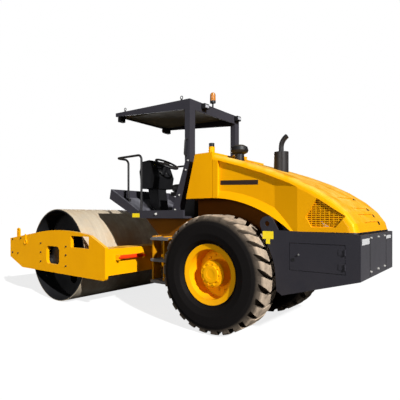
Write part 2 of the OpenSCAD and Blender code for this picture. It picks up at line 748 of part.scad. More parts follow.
cleaner_neck_h = 235;
cleaner_cap_r = 118;
cleaner_cap_h = 95;
cleaner_lip = 13;
module precleaner() color(rubber_black) place() translate([cleaner_x, cleaner_y, cleaner_low_z])
  rotate_extrude() polygon([
    [0, 0], [cleaner_r, 0], [cleaner_r, cleaner_neck_h], [cleaner_cap_r - cleaner_lip, cleaner_neck_h + 20],
    [cleaner_cap_r, cleaner_neck_h + cleaner_cap_h / 2],
    [cleaner_cap_r - cleaner_lip, cleaner_neck_h + cleaner_cap_h],
    [cleaner_r, cleaner_neck_h + cleaner_cap_h + 2 * cleaner_lip],
    [0, cleaner_neck_h + cleaner_cap_h + 2 * cleaner_lip]
  ]);

module muffler() color("#3A3434") place() translate([muffler_x, 0, 0]) {
  translate([0, 0, muffler_low_z]) cylinder(r = muffler_r, h = muffler_top_z - muffler_low_z);
  translate([0, 0, muffler_top_z - 1]) cylinder(r = pipe_r, h = pipe_h + 1);
  translate([-pipe_bend, 0, muffler_top_z + pipe_h]) rotate([90, 0, 0])
    rotate_extrude(angle = pipe_turn) translate([pipe_bend, 0]) circle(r = pipe_r);
}

// Wheels: a tyre on a deep dished rim that turns on the axle's spindle
rim_step = 43;
bead_r = rim_d / 2 - rim_step;
rim_wall = 22;
rim_half = tyre_w * 0.37;
flange_t_rim = 10;
flange_lip = 6;
bead_half = rim_half - flange_t_rim - seat_gap;
hub_r = 165;
hub_face = 125;
hub_tail = 120;
hub_bevel = 15;
dish = -70;
disc_t = 30;
lug_lean = 110;
groove_w = 42;
groove_shoulder_w = 82;
groove_floor_r = tyre_r - groove_depth;
groove_reach = tyre_w / 2 + 10;
tyre_half = tyre_w / 2;
side_h = tyre_r - rim_d / 2;

// Half of the tyre's section from bead to tread, as radius and offset from its middle
half_section = [
  [bead_r, bead_half], [rim_d / 2 + side_h * 0.04, bead_half], [rim_d / 2 + side_h * 0.14, tyre_half * 0.92],
  [rim_d / 2 + side_h * 0.36, tyre_half], [rim_d / 2 + side_h * 0.66, tyre_half * 0.985],
  [rim_d / 2 + side_h * 0.94, tyre_half * 0.85], [tyre_r, tyre_half * 0.62]
];
function other_half(p) = [for (i = [len(p) - 1:-1:0]) [p[i][0], -p[i][1]]];

// A groove across the tread, bent to a V at the middle, wider at the shoulders
module tread_groove() translate([groove_floor_r, 0, 0]) rotate([90, 0, 90]) linear_extrude(tyre_r) polygon([
  [-groove_w / 2, 0], [lug_lean - groove_shoulder_w / 2, groove_reach],
  [lug_lean + groove_shoulder_w / 2, groove_reach], [groove_w / 2, 0],
  [lug_lean + groove_shoulder_w / 2, -groove_reach], [lug_lean - groove_shoulder_w / 2, -groove_reach]
]);

module wheel_axis(side) place() on_side(side) translate([0, tyre_y, tyre_r]) rotate([-90, 0, 0]) children();

module tyre(side) color(rubber_black) wheel_axis(side) difference() {
  rotate_extrude($fn = 2 * lug_count) polygon(concat(half_section, other_half(half_section)));
  for (i = [1:lug_count]) rotate([0, 0, i * 360 / lug_count]) tread_groove();
}
module tyre_left() tyre(1);
module tyre_right() tyre(-1);

module rim(side) color(paint_yellow) wheel_axis(side) rotate_extrude($fn = 2 * lug_count) polygon([
  [spindle_r + seat_gap, -hub_tail], [spindle_r + seat_gap, spindle_half - tyre_y + 1],
  [0, spindle_half - tyre_y + 1], [0, hub_face], [hub_r - hub_bevel, hub_face], [hub_r, hub_face - hub_bevel],
  [hub_r, dish], [bead_r - rim_wall, dish], [bead_r - rim_wall, rim_half - flange_t_rim],
  [rim_d / 2 - flange_lip, rim_half], [rim_d / 2, rim_half], [rim_d / 2, rim_half - flange_t_rim],
  [bead_r - seat_gap, rim_half - flange_t_rim], [bead_r - seat_gap, -rim_half + flange_t_rim],
  [rim_d / 2, -rim_half + flange_t_rim], [rim_d / 2, -rim_half], [rim_d / 2 - flange_lip, -rim_half],
  [bead_r - rim_wall, -rim_half + flange_t_rim], [bead_r - rim_wall, dish - disc_t],
  [hub_r, dish - disc_t], [hub_r, -hub_tail]
]);
module rim_left() rim(1);
module rim_right() rim(-1);

// Driver's platform: a pan with a raised, sloping front
deck_t = 30;
deck_set = 455;
deck_x0 = max(seam_x + deck_set, clear_x(floor_z - deck_t));
deck_flat_x = 1437;
deck_tip_x = 2050;
deck_beam = 112;
deck_side_t = 40;
deck_lean = 34;
tip_low_z = floor_z + 278;
tip_top_z = floor_z + 428;
pan_bend_x = deck_flat_x - 8;
pan_tip_x = deck_tip_x - 40;
module platform() color(paint_gray) place() difference() {
  side_profile(-deck_half_w, deck_half_w) polygon([
    [deck_x0, floor_z - deck_t], [deck_flat_x, floor_z - deck_t], [deck_tip_x, tip_low_z],
    [deck_tip_x - deck_lean, tip_top_z], [deck_flat_x - deck_lean, floor_z - deck_t + deck_beam],
    [deck_x0, floor_z - deck_t + deck_beam]
  ]);
  side_profile(-deck_half_w + deck_side_t, deck_half_w - deck_side_t) polygon([
    [deck_x0 - 1, floor_z], [pan_bend_x, floor_z], [pan_tip_x, tip_low_z + deck_t],
    [pan_tip_x - deck_lean, far], [deck_x0 - 1, far]
  ]);
}
// Height of the platform's sloping floor
function pan_z(x) = floor_z + (tip_low_z + deck_t - floor_z) * (x - pan_bend_x) / (pan_tip_x - pan_bend_x);

bracket_t = 25;
bracket_y = deck_half_w - 160;
bracket_tip_x = deck_flat_x - 317;
bracket_low_z = floor_z - 370;
bracket_lip = 80;
bracket_inset = 40;
arm_y = wall_y - 10;
arm_w = 100;
arm_low_z = floor_z - 240;
tie_low_z = floor_z - 160;
tie_x = clear_x(tie_low_z);
bracket_x0 = clear_x(bracket_low_z);
module platform_brackets() color(paint_yellow) place() {
  for (side = [-1, 1]) on_side(side) {
    side_profile(bracket_y - bracket_t, bracket_y) polygon([
      [tie_x, floor_z - deck_t], [deck_flat_x - bracket_inset, floor_z - deck_t],
      [bracket_tip_x, bracket_low_z + bracket_lip], [bracket_tip_x, bracket_low_z],
      [bracket_x0, bracket_low_z], [tie_x, tie_low_z]
    ]);
    block([bulkhead_x, arm_y - arm_w, arm_low_z], [bracket_x0, arm_y, floor_z - deck_t]);
  }
  block([tie_x, -bracket_y, tie_low_z], [bracket_x0, bracket_y, floor_z - deck_t]);
}

ladder_x0 = tyre_r + 45;
ladder_x1 = ladder_x0 + (plate_tail_x - ladder_x0) * 0.3886;
ladder_y1 = bracket_y + 210;
ladder_plate_t = 20;
stringer_inset = 40;
stringer_rise = 20;
stringer_x = ladder_x1 - (ladder_x1 - ladder_x0) * 0.66;
tread_count = 3;
tread_t = 32;
tread_top_z = floor_z - step_rise;
ladder_low_z = tread_top_z - (tread_count - 1) * step_rise - tread_t;
module ladder(side) color(paint_yellow) place() on_side(side) {
  for (i = [0:tread_count - 1]) translate([0, 0, -i * step_rise])
    block([ladder_x0, bracket_y, tread_top_z - tread_t], [ladder_x1, ladder_y1, tread_top_z]);
  for (x = [ladder_x1 - ladder_plate_t, stringer_x])
    block([x, bracket_y, ladder_low_z],
      [x + ladder_plate_t, ladder_y1 - stringer_inset, tread_top_z + stringer_rise]);
}
module ladder_left() ladder(1);
module ladder_right() ladder(-1);

// Handrail: two feet and a hairpin bend round the platform's front corner
rail_y = deck_half_w - deck_side_t / 2;
rail_x0 = deck_flat_x - 82;
rail_x1 = deck_tip_x - 150;
rail_y1 = rail_y - 250;
rail_top_z = floor_z + 905;
rail_bend = 70;
rail_foot_z = floor_z - deck_t + deck_beam;
foot_half = 30;
foot_t = 15;
foot_top_z = pan_z(rail_x1 + foot_half) + foot_t;
module rail_bend_at(p, turn) translate(p) rotate(turn)
  rotate_extrude(angle = 90) translate([rail_bend, 0]) circle(r = rail_r);
module handrail(side) color(rubber_black) place() on_side(side) {
  translate([rail_x0, rail_y, rail_foot_z]) cylinder(r = rail_r, h = rail_top_z - rail_bend - rail_foot_z);
  rail_bend_at([rail_x0 + rail_bend, rail_y, rail_top_z - rail_bend], [90, 0, 180]);
  bar_x(rail_x0 + rail_bend, rail_x1 - rail_bend, rail_y, rail_top_z, rail_r);
  rail_bend_at([rail_x1 - rail_bend, rail_y - rail_bend, rail_top_z], [0, 0, 0]);
  bar_y(rail_x1, rail_top_z, rail_r, rail_y1 + rail_bend, rail_y - rail_bend);
  rail_bend_at([rail_x1, rail_y1 + rail_bend, rail_top_z - rail_bend], [90, 0, 270]);
  translate([rail_x1, rail_y1, foot_top_z - 1])
    cylinder(r = rail_r, h = rail_top_z - rail_bend - foot_top_z + 1);
  side_profile(rail_y1 - foot_half, rail_y1 + foot_half) polygon([
    [rail_x1 - foot_half, pan_z(rail_x1 - foot_half) + seat_gap],
    [rail_x1 + foot_half, pan_z(rail_x1 + foot_half) + seat_gap],
    [rail_x1 + foot_half, foot_top_z], [rail_x1 - foot_half, foot_top_z]
  ]);
}
module handrail_left() handrail(1);
module handrail_right() handrail(-1);

// Driver's place: console with the steering wheel, seat and control box
wheel_x = deck_flat_x + 33;
wheel_z = floor_z + 850;
wheel_r = 205;
wheel_rim_r = 17;
wheel_tilt = -28;
wheel_hub_r = 45;
wheel_hub_h = 40;
wheel_hub_drop = 25;
spoke_w = 28;
spoke_t = 16;
column_r = 38;
column_l = 190;
stem_half_w = 110;
stem_x0 = deck_flat_x + 83;
stem_x1 = stem_x0 + 200;
stem_lean = 70;
stem_top_z = floor_z + 480;
dash_half_w = 240;
dash_x = stem_x0 + 40;
dash_l = 260;
dash_low_z = floor_z + 450;
dash_h = 457;
module console() color(rubber_black) place() {
  side_profile(-stem_half_w, stem_half_w) polygon([
    [stem_x0, pan_z(stem_x0) + seat_gap], [stem_x1, pan_z(stem_x1) + seat_gap],
    [stem_x1 + stem_lean, stem_top_z], [stem_x0 + stem_lean, stem_top_z]
  ]);
  side_profile(-dash_half_w, dash_half_w) polygon([
    [dash_x, dash_low_z], [dash_x + dash_l, dash_low_z], [dash_x + dash_l * 1.16, dash_low_z + dash_h * 0.62],
    [dash_x + dash_l * 0.92, dash_low_z + dash_h * 0.97], [dash_x + dash_l * 0.3, dash_low_z + dash_h],
    [dash_x - dash_l * 0.15, dash_low_z + dash_h * 0.4]
  ]);
  translate([wheel_x, 0, wheel_z]) rotate([0, wheel_tilt, 0])
    translate([0, 0, -wheel_hub_drop - column_l]) cylinder(r = column_r, h = column_l);
}
module steering_wheel() color(rubber_black) place()
  translate([wheel_x, 0, wheel_z]) rotate([0, wheel_tilt, 0]) {
  rotate_extrude() translate([wheel_r - wheel_rim_r, 0]) circle(r = wheel_rim_r);
  for (a = [90, 210, 330]) rotate([0, 0, a])
    translate([0, -spoke_w / 2, -spoke_t / 2]) cube([wheel_r - wheel_rim_r, spoke_w, spoke_t]);
  translate([0, 0, -wheel_hub_drop]) cylinder(r = wheel_hub_r, h = wheel_hub_h);
}

seat_set = 737;
seat_x0 = deck_flat_x - seat_set;
seat_l = 480;
seat_x1 = seat_x0 + seat_l;
seat_half_w = 250;
seat_z = floor_z + 370;
seat_pan_t = 60;
seat_pan_inset = 10;
seat_foot_half_w = 160;
seat_foot_inset = 80;
cushion_t = 120;
cushion_set = 90;
cushion_x0 = seat_x0 + cushion_set;
cushion_over = 20;
back_h = 400;
back_lean = 70;
back_t = 100;
module seat_base() color(paint_gray) place() {
  block([seat_x0 + seat_foot_inset, -seat_foot_half_w, floor_z],
    [seat_x1 - seat_foot_inset, seat_foot_half_w, seat_z - seat_pan_t]);
  block([seat_x0, -seat_half_w + seat_pan_inset, seat_z - seat_pan_t],
    [seat_x1, seat_half_w - seat_pan_inset, seat_z]);
}
module seat_cushion() color(rubber_black) place()
  block([cushion_x0, -seat_half_w, seat_z], [seat_x1 + cushion_over, seat_half_w, seat_z + cushion_t]);
module seat_back() color(rubber_black) place() side_profile(-seat_half_w, seat_half_w) polygon([
  [cushion_x0 - back_t, seat_z], [cushion_x0, seat_z], [cushion_x0 - back_lean, seat_z + back_h],
  [cushion_x0 - back_t - back_lean + seat_pan_inset, seat_z + back_h]
]);
box_gap = 20;
control_w = 150;
control_h = 130;
lever_r = 14;
lever_h = 110;
knob_r = 28;
lever_set = 110;
lever_x = seat_x1 - lever_set;
lever_y = -seat_half_w - box_gap - control_w / 2;
module control_box() color(rubber_black) place() {
  block([cushion_x0 + box_gap, -seat_half_w - box_gap - control_w, floor_z],
    [seat_x1 - box_gap, -seat_half_w - box_gap, seat_z + control_h]);
  translate([lever_x, lever_y, seat_z + control_h]) cylinder(r = lever_r, h = lever_h);
  translate([lever_x, lever_y, seat_z + control_h + lever_h + lever_r]) sphere(r = knob_r);
}

// Canopy: two posts that lean back to the roof's rear edge
roof_set = 400;
roof_x0 = seam_x + roof_set;
roof_half_w = deck_half_w - roof_inset;
post_d = 85;
post_kink_z = floor_z + 730;
post_foot_x = 215;
post_foot_d = 125;
roof_t = 22;
fascia_rear = 130;
fascia_front = 55;
fascia_t = 30;
module post(side) color(paint_gray) place() on_side(side)
  side_profile(roof_half_w - post_w, roof_half_w) polygon([
    [roof_x0 + post_foot_x, floor_z], [roof_x0 + post_foot_x + post_foot_d, floor_z],
    [roof_x0 + post_d, post_kink_z], [roof_x0 + post_d, roof_at(roof_x0 + post_d) - roof_t],
    [roof_x0, roof_z - roof_t], [roof_x0, post_kink_z]
  ]);
module post_left() post(1);
module post_right() post(-1);

roof_x1 = roof_x0 + roof_l;
// Height of the roof's top, which rises to the front
function roof_at(x) = roof_z + roof_rise * (x - roof_x0) / roof_l;
module fascia_outline() polygon([
  [roof_x0 + post_d, roof_z - fascia_rear], [roof_x0 + post_d, roof_at(roof_x0 + post_d)],
  [roof_x1, roof_at(roof_x1)], [roof_x1, roof_at(roof_x1) - fascia_front]
]);
module roof_slice(x0, x1, thick) polygon([
  [x0, roof_at(x0) - thick], [x1, roof_at(x1) - thick], [x1, roof_at(x1)], [x0, roof_at(x0)]
]);
module roof() color(paint_gray) place() {
  side_profile(-roof_half_w, roof_half_w) roof_slice(roof_x0, roof_x1, roof_t);
  for (side = [-1, 1]) on_side(side) side_profile(roof_half_w - fascia_t, roof_half_w) fascia_outline();
  side_profile(-roof_half_w, roof_half_w) roof_slice(roof_x1 - fascia_t, roof_x1, fascia_front);
  side_profile(-roof_half_w + post_w, roof_half_w - post_w)
    roof_slice(roof_x0, roof_x0 + fascia_t, fascia_rear);
}

lamp_w = 105;
lamp_h = 70;
lamp_d = 60;
lamp_stay = 20;
lamp_drop = 10;
lamp_z = roof_at(roof_x1 - fascia_t) - fascia_front - lamp_drop;
lamp_inset = 80;
front_lamp_y = roof_half_w - 83;
rear_lamp_left_y = 330;
rear_lamp_right_y = 98 - roof_half_w;
rear_lamp_drop = 50;
module lamp_body() translate([0, -lamp_w / 2, -lamp_h / 2]) cube([lamp_d, lamp_w, lamp_h]);
module front_lamps() color(rubber_black) place() for (side = [-1, 1]) on_side(side)
  translate([roof_x1 - lamp_inset, front_lamp_y, lamp_z]) {
    translate([0, 0, -lamp_h / 2]) lamp_body();
    block([lamp_d - lamp_stay / 4, -lamp_stay, -1], [lamp_inset - lamp_stay / 4, lamp_stay, lamp_drop]);
    block([lamp_d - lamp_stay / 4 - 1, -lamp_stay, -lamp_h / 2], [lamp_inset - lamp_stay / 4, lamp_stay, 0]);
  }
module rear_lamps() color("#D8D8DA") place() for (y = [rear_lamp_left_y, rear_lamp_right_y])
  translate([roof_x0 - lamp_d, y, roof_z - rear_lamp_drop]) lamp_body();

beacon_x = roof_x0 + 45;
beacon_y = 30;
beacon_stem_r = 12;
beacon_stem_h = 80;
beacon_base_r = 42;
beacon_base_h = 30;
dome_wall_h = 85;
beacon_foot_z = roof_at(beacon_x + beacon_stem_r);
dome_r = beacon_base_r - 2;
module beacon_stand() color(rubber_black) place() translate([beacon_x, beacon_y, beacon_foot_z]) {
  cylinder(r = beacon_stem_r, h = beacon_stem_h);
  translate([0, 0, beacon_stem_h]) cylinder(r = beacon_base_r, h = beacon_base_h);
}
module beacon_dome() color("#E8860C") place()
  translate([beacon_x, beacon_y, beacon_foot_z + beacon_stem_h + beacon_base_h])
  rotate_extrude() polygon(concat([[0, 0], [beacon_base_r, 0]], arc(0, dome_wall_h, dome_r, 0, 90, 8)));

rear_frame();
rear_axle();
rear_box();
side_panel_left();
side_panel_right();
engine_block();
tank();
filler_neck();
filler_cap();
platform();
platform_brackets();
ladder_left();
ladder_right();
handrail_left();
handrail_right();
console();
steering_wheel();
seat_base();
seat_cushion();
seat_back();
control_box();
post_left();
post_right();
roof();
front_lamps();
rear_lamps();
beacon_stand();
beacon_dome();
door_left();
door_right();
hood();
hood_grilles();
precleaner();
muffler();
hood_hinges();
tyre_left();
tyre_right();
rim_left();
rim_right();
knuckle();
side_plate_left();
side_plate_right();
front_beam();
rear_beam();
drum_mount_left();
drum_mount_right();
scrapers();
lock_bar();
drum();
barrel_left();
barrel_right();
rod_left();
rod_right();
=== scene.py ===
# %% [markdown]
# A single-drum soil roller, dressed for its picture. The machine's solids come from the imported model, in
# metres, with X forward, Y to the left and Z up. This lesson gives them paint, rubber, steel and dust, and
# adds the small pieces that a drawing of solids leaves out.

# %% Load the machine
import math
import bmesh
import bpy
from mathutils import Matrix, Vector


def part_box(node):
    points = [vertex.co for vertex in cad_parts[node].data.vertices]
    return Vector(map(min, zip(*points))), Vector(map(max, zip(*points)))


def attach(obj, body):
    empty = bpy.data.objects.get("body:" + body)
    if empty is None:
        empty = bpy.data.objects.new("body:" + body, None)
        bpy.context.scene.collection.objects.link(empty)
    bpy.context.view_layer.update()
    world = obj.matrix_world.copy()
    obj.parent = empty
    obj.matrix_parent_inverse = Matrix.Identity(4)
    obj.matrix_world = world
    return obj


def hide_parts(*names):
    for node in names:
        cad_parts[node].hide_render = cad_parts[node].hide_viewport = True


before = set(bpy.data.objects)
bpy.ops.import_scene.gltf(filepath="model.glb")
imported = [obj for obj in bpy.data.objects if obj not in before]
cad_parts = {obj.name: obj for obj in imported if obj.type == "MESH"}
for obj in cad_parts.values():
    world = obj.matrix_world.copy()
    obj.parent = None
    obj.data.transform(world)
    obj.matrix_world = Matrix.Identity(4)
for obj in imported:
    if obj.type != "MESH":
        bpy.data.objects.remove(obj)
scene = bpy.context.scene
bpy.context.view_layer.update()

# %% [markdown]
# The picture was taken from the left rear corner at eye height, with the lens held level. The camera's place
# and lens were fitted to the rear tyre, its rim and the drum. A level camera keeps upright lines upright, so
# the frame is moved with the lens shift and the camera isn't tilted.

# %% Camera
PHOTO_SIDE, FOCAL_PIXELS = 400, 379.1
AHEAD_X, AHEAD_Y = 170.0, 216.2
SENSOR = 36
CAMERA_PLACE = (-4.0126, 4.6697, 1.4194)
VIEW_YAW = math.radians(-49.36)
QUARTER = math.radians(90)
camera = bpy.data.objects.new("camera", bpy.data.cameras.new("camera"))
scene.collection.objects.link(camera)
camera.location = CAMERA_PLACE
camera.rotation_euler = (QUARTER, 0, VIEW_YAW - QUARTER)
camera.data.sensor_width = SENSOR
camera.data.lens = SENSOR * FOCAL_PIXELS / PHOTO_SIDE
camera.data.shift_x = 0.5 - AHEAD_X / PHOTO_SIDE
camera.data.shift_y = AHEAD_Y / PHOTO_SIDE - 0.5
camera.data.clip_end = 200
scene.camera = camera
print("lens:", round(camera.data.lens, 1), "mm")

# %% [markdown]
# The picture is a cut-out on white, so the floor is a pale sheet that all but glows where the camera sees
# it, with only a faint shadow. To all other rays it is a dark gray. A white floor would light the machine
# from below, and the picture's undersides are dark.

# %% Floor
WHITE = (1.0, 1.0, 1.0, 1.0)


def set_inputs(node, **values):
    """Sets a node's input values. Underscores in a key stand for spaces."""
    for key, value in values.items():
        node.inputs[key.replace("_", " ")].default_value = value


def show_camera(tree, seen, unseen, output):
    """Shows one shader to the camera, and another to every other ray."""
    choice = tree.nodes.new("ShaderNodeMixShader")
    rays = tree.nodes.new("ShaderNodeLightPath")
    tree.links.new(rays.outputs["Is Camera Ray"], choice.inputs[0])
    tree.links.new(unseen.outputs[0], choice.inputs[1])
    tree.links.new(seen.outputs[0], choice.inputs[2])
    tree.links.new(choice.outputs[0], tree.nodes[output].inputs["Surface"])


bpy.ops.object.select_all(action="DESELECT")
bpy.ops.mesh.primitive_circle_add(vertices=64, radius=60, fill_type="NGON", location=(0, 0, -0.002))
floor = bpy.context.object
floor.name = "floor"
floor_paint = bpy.data.materials.new("pale_floor")
floor_paint.use_nodes = True
sheet = floor_paint.node_tree
pale_floor = sheet.nodes["Principled BSDF"]
set_inputs(pale_floor, Base_Color=(0.22, 0.22, 0.22, 1), Roughness=1.0, Specular_IOR_Level=0.0)
set_inputs(pale_floor, Emission_Color=WHITE, Emission_Strength=0.80)
gray_floor = sheet.nodes.new("ShaderNodeBsdfDiffuse")
set_inputs(gray_floor, Color=(0.06, 0.06, 0.06, 1))
show_camera(sheet, pale_floor, gray_floor, "Material Output")
floor.data.materials.append(floor_paint)
print("floor:", floor.name)

# %% [markdown]
# The light comes low from behind the machine and throws the platform's shadow on the drum, so the key is a
# sun lamp. A wide lamp from the left fills the machine's side, and runs along the drum's shell without
# lighting it, which keeps that shadow dark. A third lamp lights only the far sides, which the picture
# doesn't show. The surround is white to the camera and dim to everything else. The plain sRGB view is used,
# because a filmic one would turn the strong yellow pale.

# %% Light
SUNS = (("rear_key", 6.1, (0.86, -0.345, -0.50), 1.5),
        ("left_fill", 1.2, (0.05, -1.0, -0.10), 25.0),
        ("far_fill", 1.4, (-0.70, 0.70, -0.04), 25.0))
world = bpy.data.worlds.new("white_surround")
world.use_nodes = True
surround = world.node_tree
dim = surround.nodes["Background"]
set_inputs(dim, Color=WHITE, Strength=0.055)
bright = surround.nodes.new("ShaderNodeBackground")
set_inputs(bright, Color=WHITE, Strength=1.0)
show_camera(surround, bright, dim, "World Output")
scene.world = world
scene.view_settings.view_transform = "Standard"


def add_sun(name, energy, travel, spread):
    """A sun lamp whose light travels along a direction, with a soft edge of some degrees."""
    data = bpy.data.lights.new(name, "SUN")
    data.energy = energy
    data.angle = math.radians(spread)
    lamp = bpy.data.objects.new(name, data)
    lamp.location = (0, 0, 6)
    lamp.rotation_euler = Vector(travel).to_track_quat("-Z", "Y").to_euler()
    scene.collection.objects.link(lamp)
    return lamp


suns = [add_sun(*sun) for sun in SUNS]
print("suns:", [sun.name for sun in suns])

# %% [markdown]
# Most finishes on a working machine share three effects: paint that is never quite even, small chips, and
# road dust on top faces and near the ground. Each is a shader node group, so a finish only sets its values.
# The groups read Object coordinates, so the pattern stays on the piece when a joint moves it. A few helpers
# keep the node work short: a socket is always given as a pair of a node and a socket's name or number.

# %% Groups and wires


def start_group(name, inputs, outputs):
    """A shader node group with named sockets, given as (name, kind, value)."""
    group = bpy.data.node_groups.new(name, "ShaderNodeTree")
    for label, kind, value in inputs:
        socket = group.interface.new_socket(label, in_out="INPUT", socket_type="NodeSocket" + kind)
        socket.default_value = value
    for label, kind in outputs:
        group.interface.new_socket(label, in_out="OUTPUT", socket_type="NodeSocket" + kind)
    return group, group.nodes.new("NodeGroupInput"), group.nodes.new("NodeGroupOutput")


def add_node(tree, kind, **settings):
    """A node with its properties set, and its input values where a key names one."""
    node = tree.nodes.new("ShaderNode" + kind)
    for key, value in settings.items():
        if key in node.inputs:
            node.inputs[key].default_value = value
        else:
            setattr(node, key, value)
    return node


def wire(tree, source, target):
    """Joins an output to an input."""
    tree.links.new(source[0].outputs[source[1]], target[0].inputs[target[1]])


def object_place(tree):
    """The place on the piece, in its own coordinates."""
    return add_node(tree, "TexCoord"), "Object"


print("wiring helpers ready")

# %% [markdown]
# A pattern is a noise that is stretched into a mask, and the mask steers a mix of two colours. Masks are
# combined by plain arithmetic. Each of these steps is one node, so each gets one helper.

# %% Noise, sums and mixes


def mix_colours(tree, factor, first, second):
    """A colour mix of two sockets, steered by a third."""
    node = add_node(tree, "Mix", data_type="RGBA")
    wire(tree, factor, (node, 0))
    wire(tree, first, (node, 6))
    wire(tree, second, (node, 7))
    return node, 2


def do_math(tree, operation, first, second, clamp=False):
    """A calculation with two values, each a socket or a number."""
    node = add_node(tree, "Math", operation=operation, use_clamp=clamp)
    for i, value in enumerate((first, second)):
        if isinstance(value, tuple):
            wire(tree, value, (node, i))
        else:
            node.inputs[i].default_value = value
    return node, 0


def stretch(tree, source, low, high, start=0.0, end=1.0):
    """Moves a value's range from low..high to start..end, and stops it there."""
    node = add_node(tree, "MapRange", clamp=True)
    set_inputs(node, From_Min=low, From_Max=high, To_Min=start, To_Max=end)
    wire(tree, source, (node, "Value"))
    return node, 0


def noise_at(tree, place, scale, detail, rough=0.55):
    """Noise at a scale in features per metre."""
    node = add_node(tree, "TexNoise", Scale=scale, Detail=detail, Roughness=rough)
    wire(tree, place, (node, "Vector"))
    return node, 0


print("pattern helpers ready")

# %% [markdown]
# Sprayed enamel varies a little in tone over a plate, and its skin has a fine orange peel. A broad noise
# mixes two close tones, and a fine one gives the height for a bump. Roughness follows a noise between them.

# %% Enamel group
enamel, enter, leave = start_group(
    "enamel", [("Paint", "Color", (1, 1, 1, 1)), ("Shade", "Color", (0, 0, 0, 1)), ("Blend", "Float", 0.5),
               ("Smooth", "Float", 0.25), ("Rough", "Float", 0.42)],
    [("Color", "Color"), ("Roughness", "Float"), ("Height", "Float")])
place = object_place(enamel)
broad = noise_at(enamel, place, 2.2, 5.0)
amount = do_math(enamel, "MULTIPLY", stretch(enamel, broad, 0.35, 0.72), (enter, "Blend"))
wire(enamel, mix_colours(enamel, amount, (enter, "Paint"), (enter, "Shade")), (leave, "Color"))
spread = add_node(enamel, "MapRange", clamp=True)
wire(enamel, noise_at(enamel, place, 9.0, 3.0), (spread, "Value"))
wire(enamel, (enter, "Smooth"), (spread, "To Min"))
wire(enamel, (enter, "Rough"), (spread, "To Max"))
wire(enamel, (spread, 0), (leave, "Roughness"))
wire(enamel, noise_at(enamel, place, 170.0, 2.0), (leave, "Height"))
print("group:", enamel.name)

# %% [markdown]
# Stones chip the paint in small spots, and boots scuff it. Real chips are sparse and cluster where another,
# broader noise is high. So the spots of a fine noise are multiplied by the patches of a broad one.

# %% Chip group
chips, enter, leave = start_group(
    "chips", [("Color", "Color", (1, 1, 1, 1)), ("Bare", "Color", (0.1, 0.09, 0.08, 1)),
              ("Amount", "Float", 0.5)],
    [("Color", "Color")])
place = object_place(chips)
spots = stretch(chips, noise_at(chips, place, 55.0, 6.0, 0.7), 0.66, 0.70)
patches = stretch(chips, noise_at(chips, place, 4.0, 2.0), 0.50, 0.66)
mask = do_math(chips, "MULTIPLY", do_math(chips, "MULTIPLY", spots, patches), (enter, "Amount"), clamp=True)
wire(chips, mix_colours(chips, mask, (enter, "Color"), (enter, "Bare")), (leave, "Color"))
print("group:", chips.name)

# %% [markdown]
# Dust settles on faces that look up and is thrown against everything near the ground. The surface normal
# gives the first mask, and the height over the ground the second. Noise breaks both up. The yellow's film on
# top is partly a painted sheen, and the deck's is a painted reflection.

# %% Dust and sheen group
dust, enter, leave = start_group(
    "dust_and_sheen", [("Color", "Color", (1, 1, 1, 1)), ("Dust", "Color", (0.46, 0.37, 0.26, 1)),
                  ("On Top", "Float", 0.3), ("Near Ground", "Float", 0.3), ("Height", "Float", 1.0)],
    [("Color", "Color"), ("Mask", "Float")])
where = add_node(dust, "TexCoord")
place = (where, "Object")
lift = add_node(dust, "SeparateXYZ")
wire(dust, place, (lift, 0))
facing = add_node(dust, "SeparateXYZ")
wire(dust, (where, "Normal"), (facing, 0))
cloud = stretch(dust, noise_at(dust, place, 5.0, 7.0, 0.65), 0.38, 0.68)
upward = stretch(dust, (facing, "Z"), 0.45, 0.95)
on_top = do_math(dust, "MULTIPLY", do_math(dust, "MULTIPLY", upward, cloud), (enter, "On Top"))
fade = do_math(dust, "SUBTRACT", 1.0, do_math(dust, "DIVIDE", (lift, "Z"), (enter, "Height")), clamp=True)
splash = do_math(dust, "MULTIPLY", do_math(dust, "MULTIPLY", fade, cloud), (enter, "Near Ground"))
mask = do_math(dust, "ADD", on_top, splash, clamp=True)
wire(dust, mix_colours(dust, mask, (enter, "Color"), (enter, "Dust")), (leave, "Color"))
wire(dust, mask, (leave, "Mask"))
print("group:", dust.name)

# %% [markdown]
# Moulded plastic, vinyl and rubber have a grain of small cells. A cell pattern gives the height for a bump,
# which keeps highlights from looking like glass.

# %% Grain group
grain, enter, leave = start_group("moulded_grain", [("Scale", "Float", 400.0)], [("Height", "Float")])
cells = add_node(grain, "TexVoronoi")
wire(grain, object_place(grain), (cells, "Vector"))
wire(grain, (enter, "Scale"), (cells, "Scale"))
wire(grain, (cells, "Distance"), (leave, "Height"))
print("group:", grain.name)

# %% [markdown]
# Every painted finish runs enamel, then chips, then a film on top into one shader: dust, and on some finishes
# a painted sheen as well. The clear coat is the same all over, so it is set on the shader's own socket. The
# film is matt, so its mask raises the roughness.

# %% Painted finish


def start_finish(name):
    """A new material with its node tree and shader."""
    material = bpy.data.materials.new(name)
    material.use_nodes = True
    return material, material.node_tree, material.node_tree.nodes["Principled BSDF"]


def use_group(tree, group, **values):
    """Places a group in a material, with values for its inputs."""
    node = tree.nodes.new("ShaderNodeGroup")
    node.node_tree = group
    set_inputs(node, **values)
    return node


def raise_bump(tree, shader, height, distance, strength):
    """Feeds a height into the shader's normal."""
    bump = add_node(tree, "Bump", Strength=strength, Distance=distance)
    wire(tree, height, (bump, "Height"))
    wire(tree, (bump, "Normal"), (shader, "Normal"))


def solid(r, g, b):
    """A colour with no transparency."""
    return (r, g, b, 1.0)


DUST = solid(0.43, 0.34, 0.24)
BARE = solid(0.10, 0.085, 0.075)


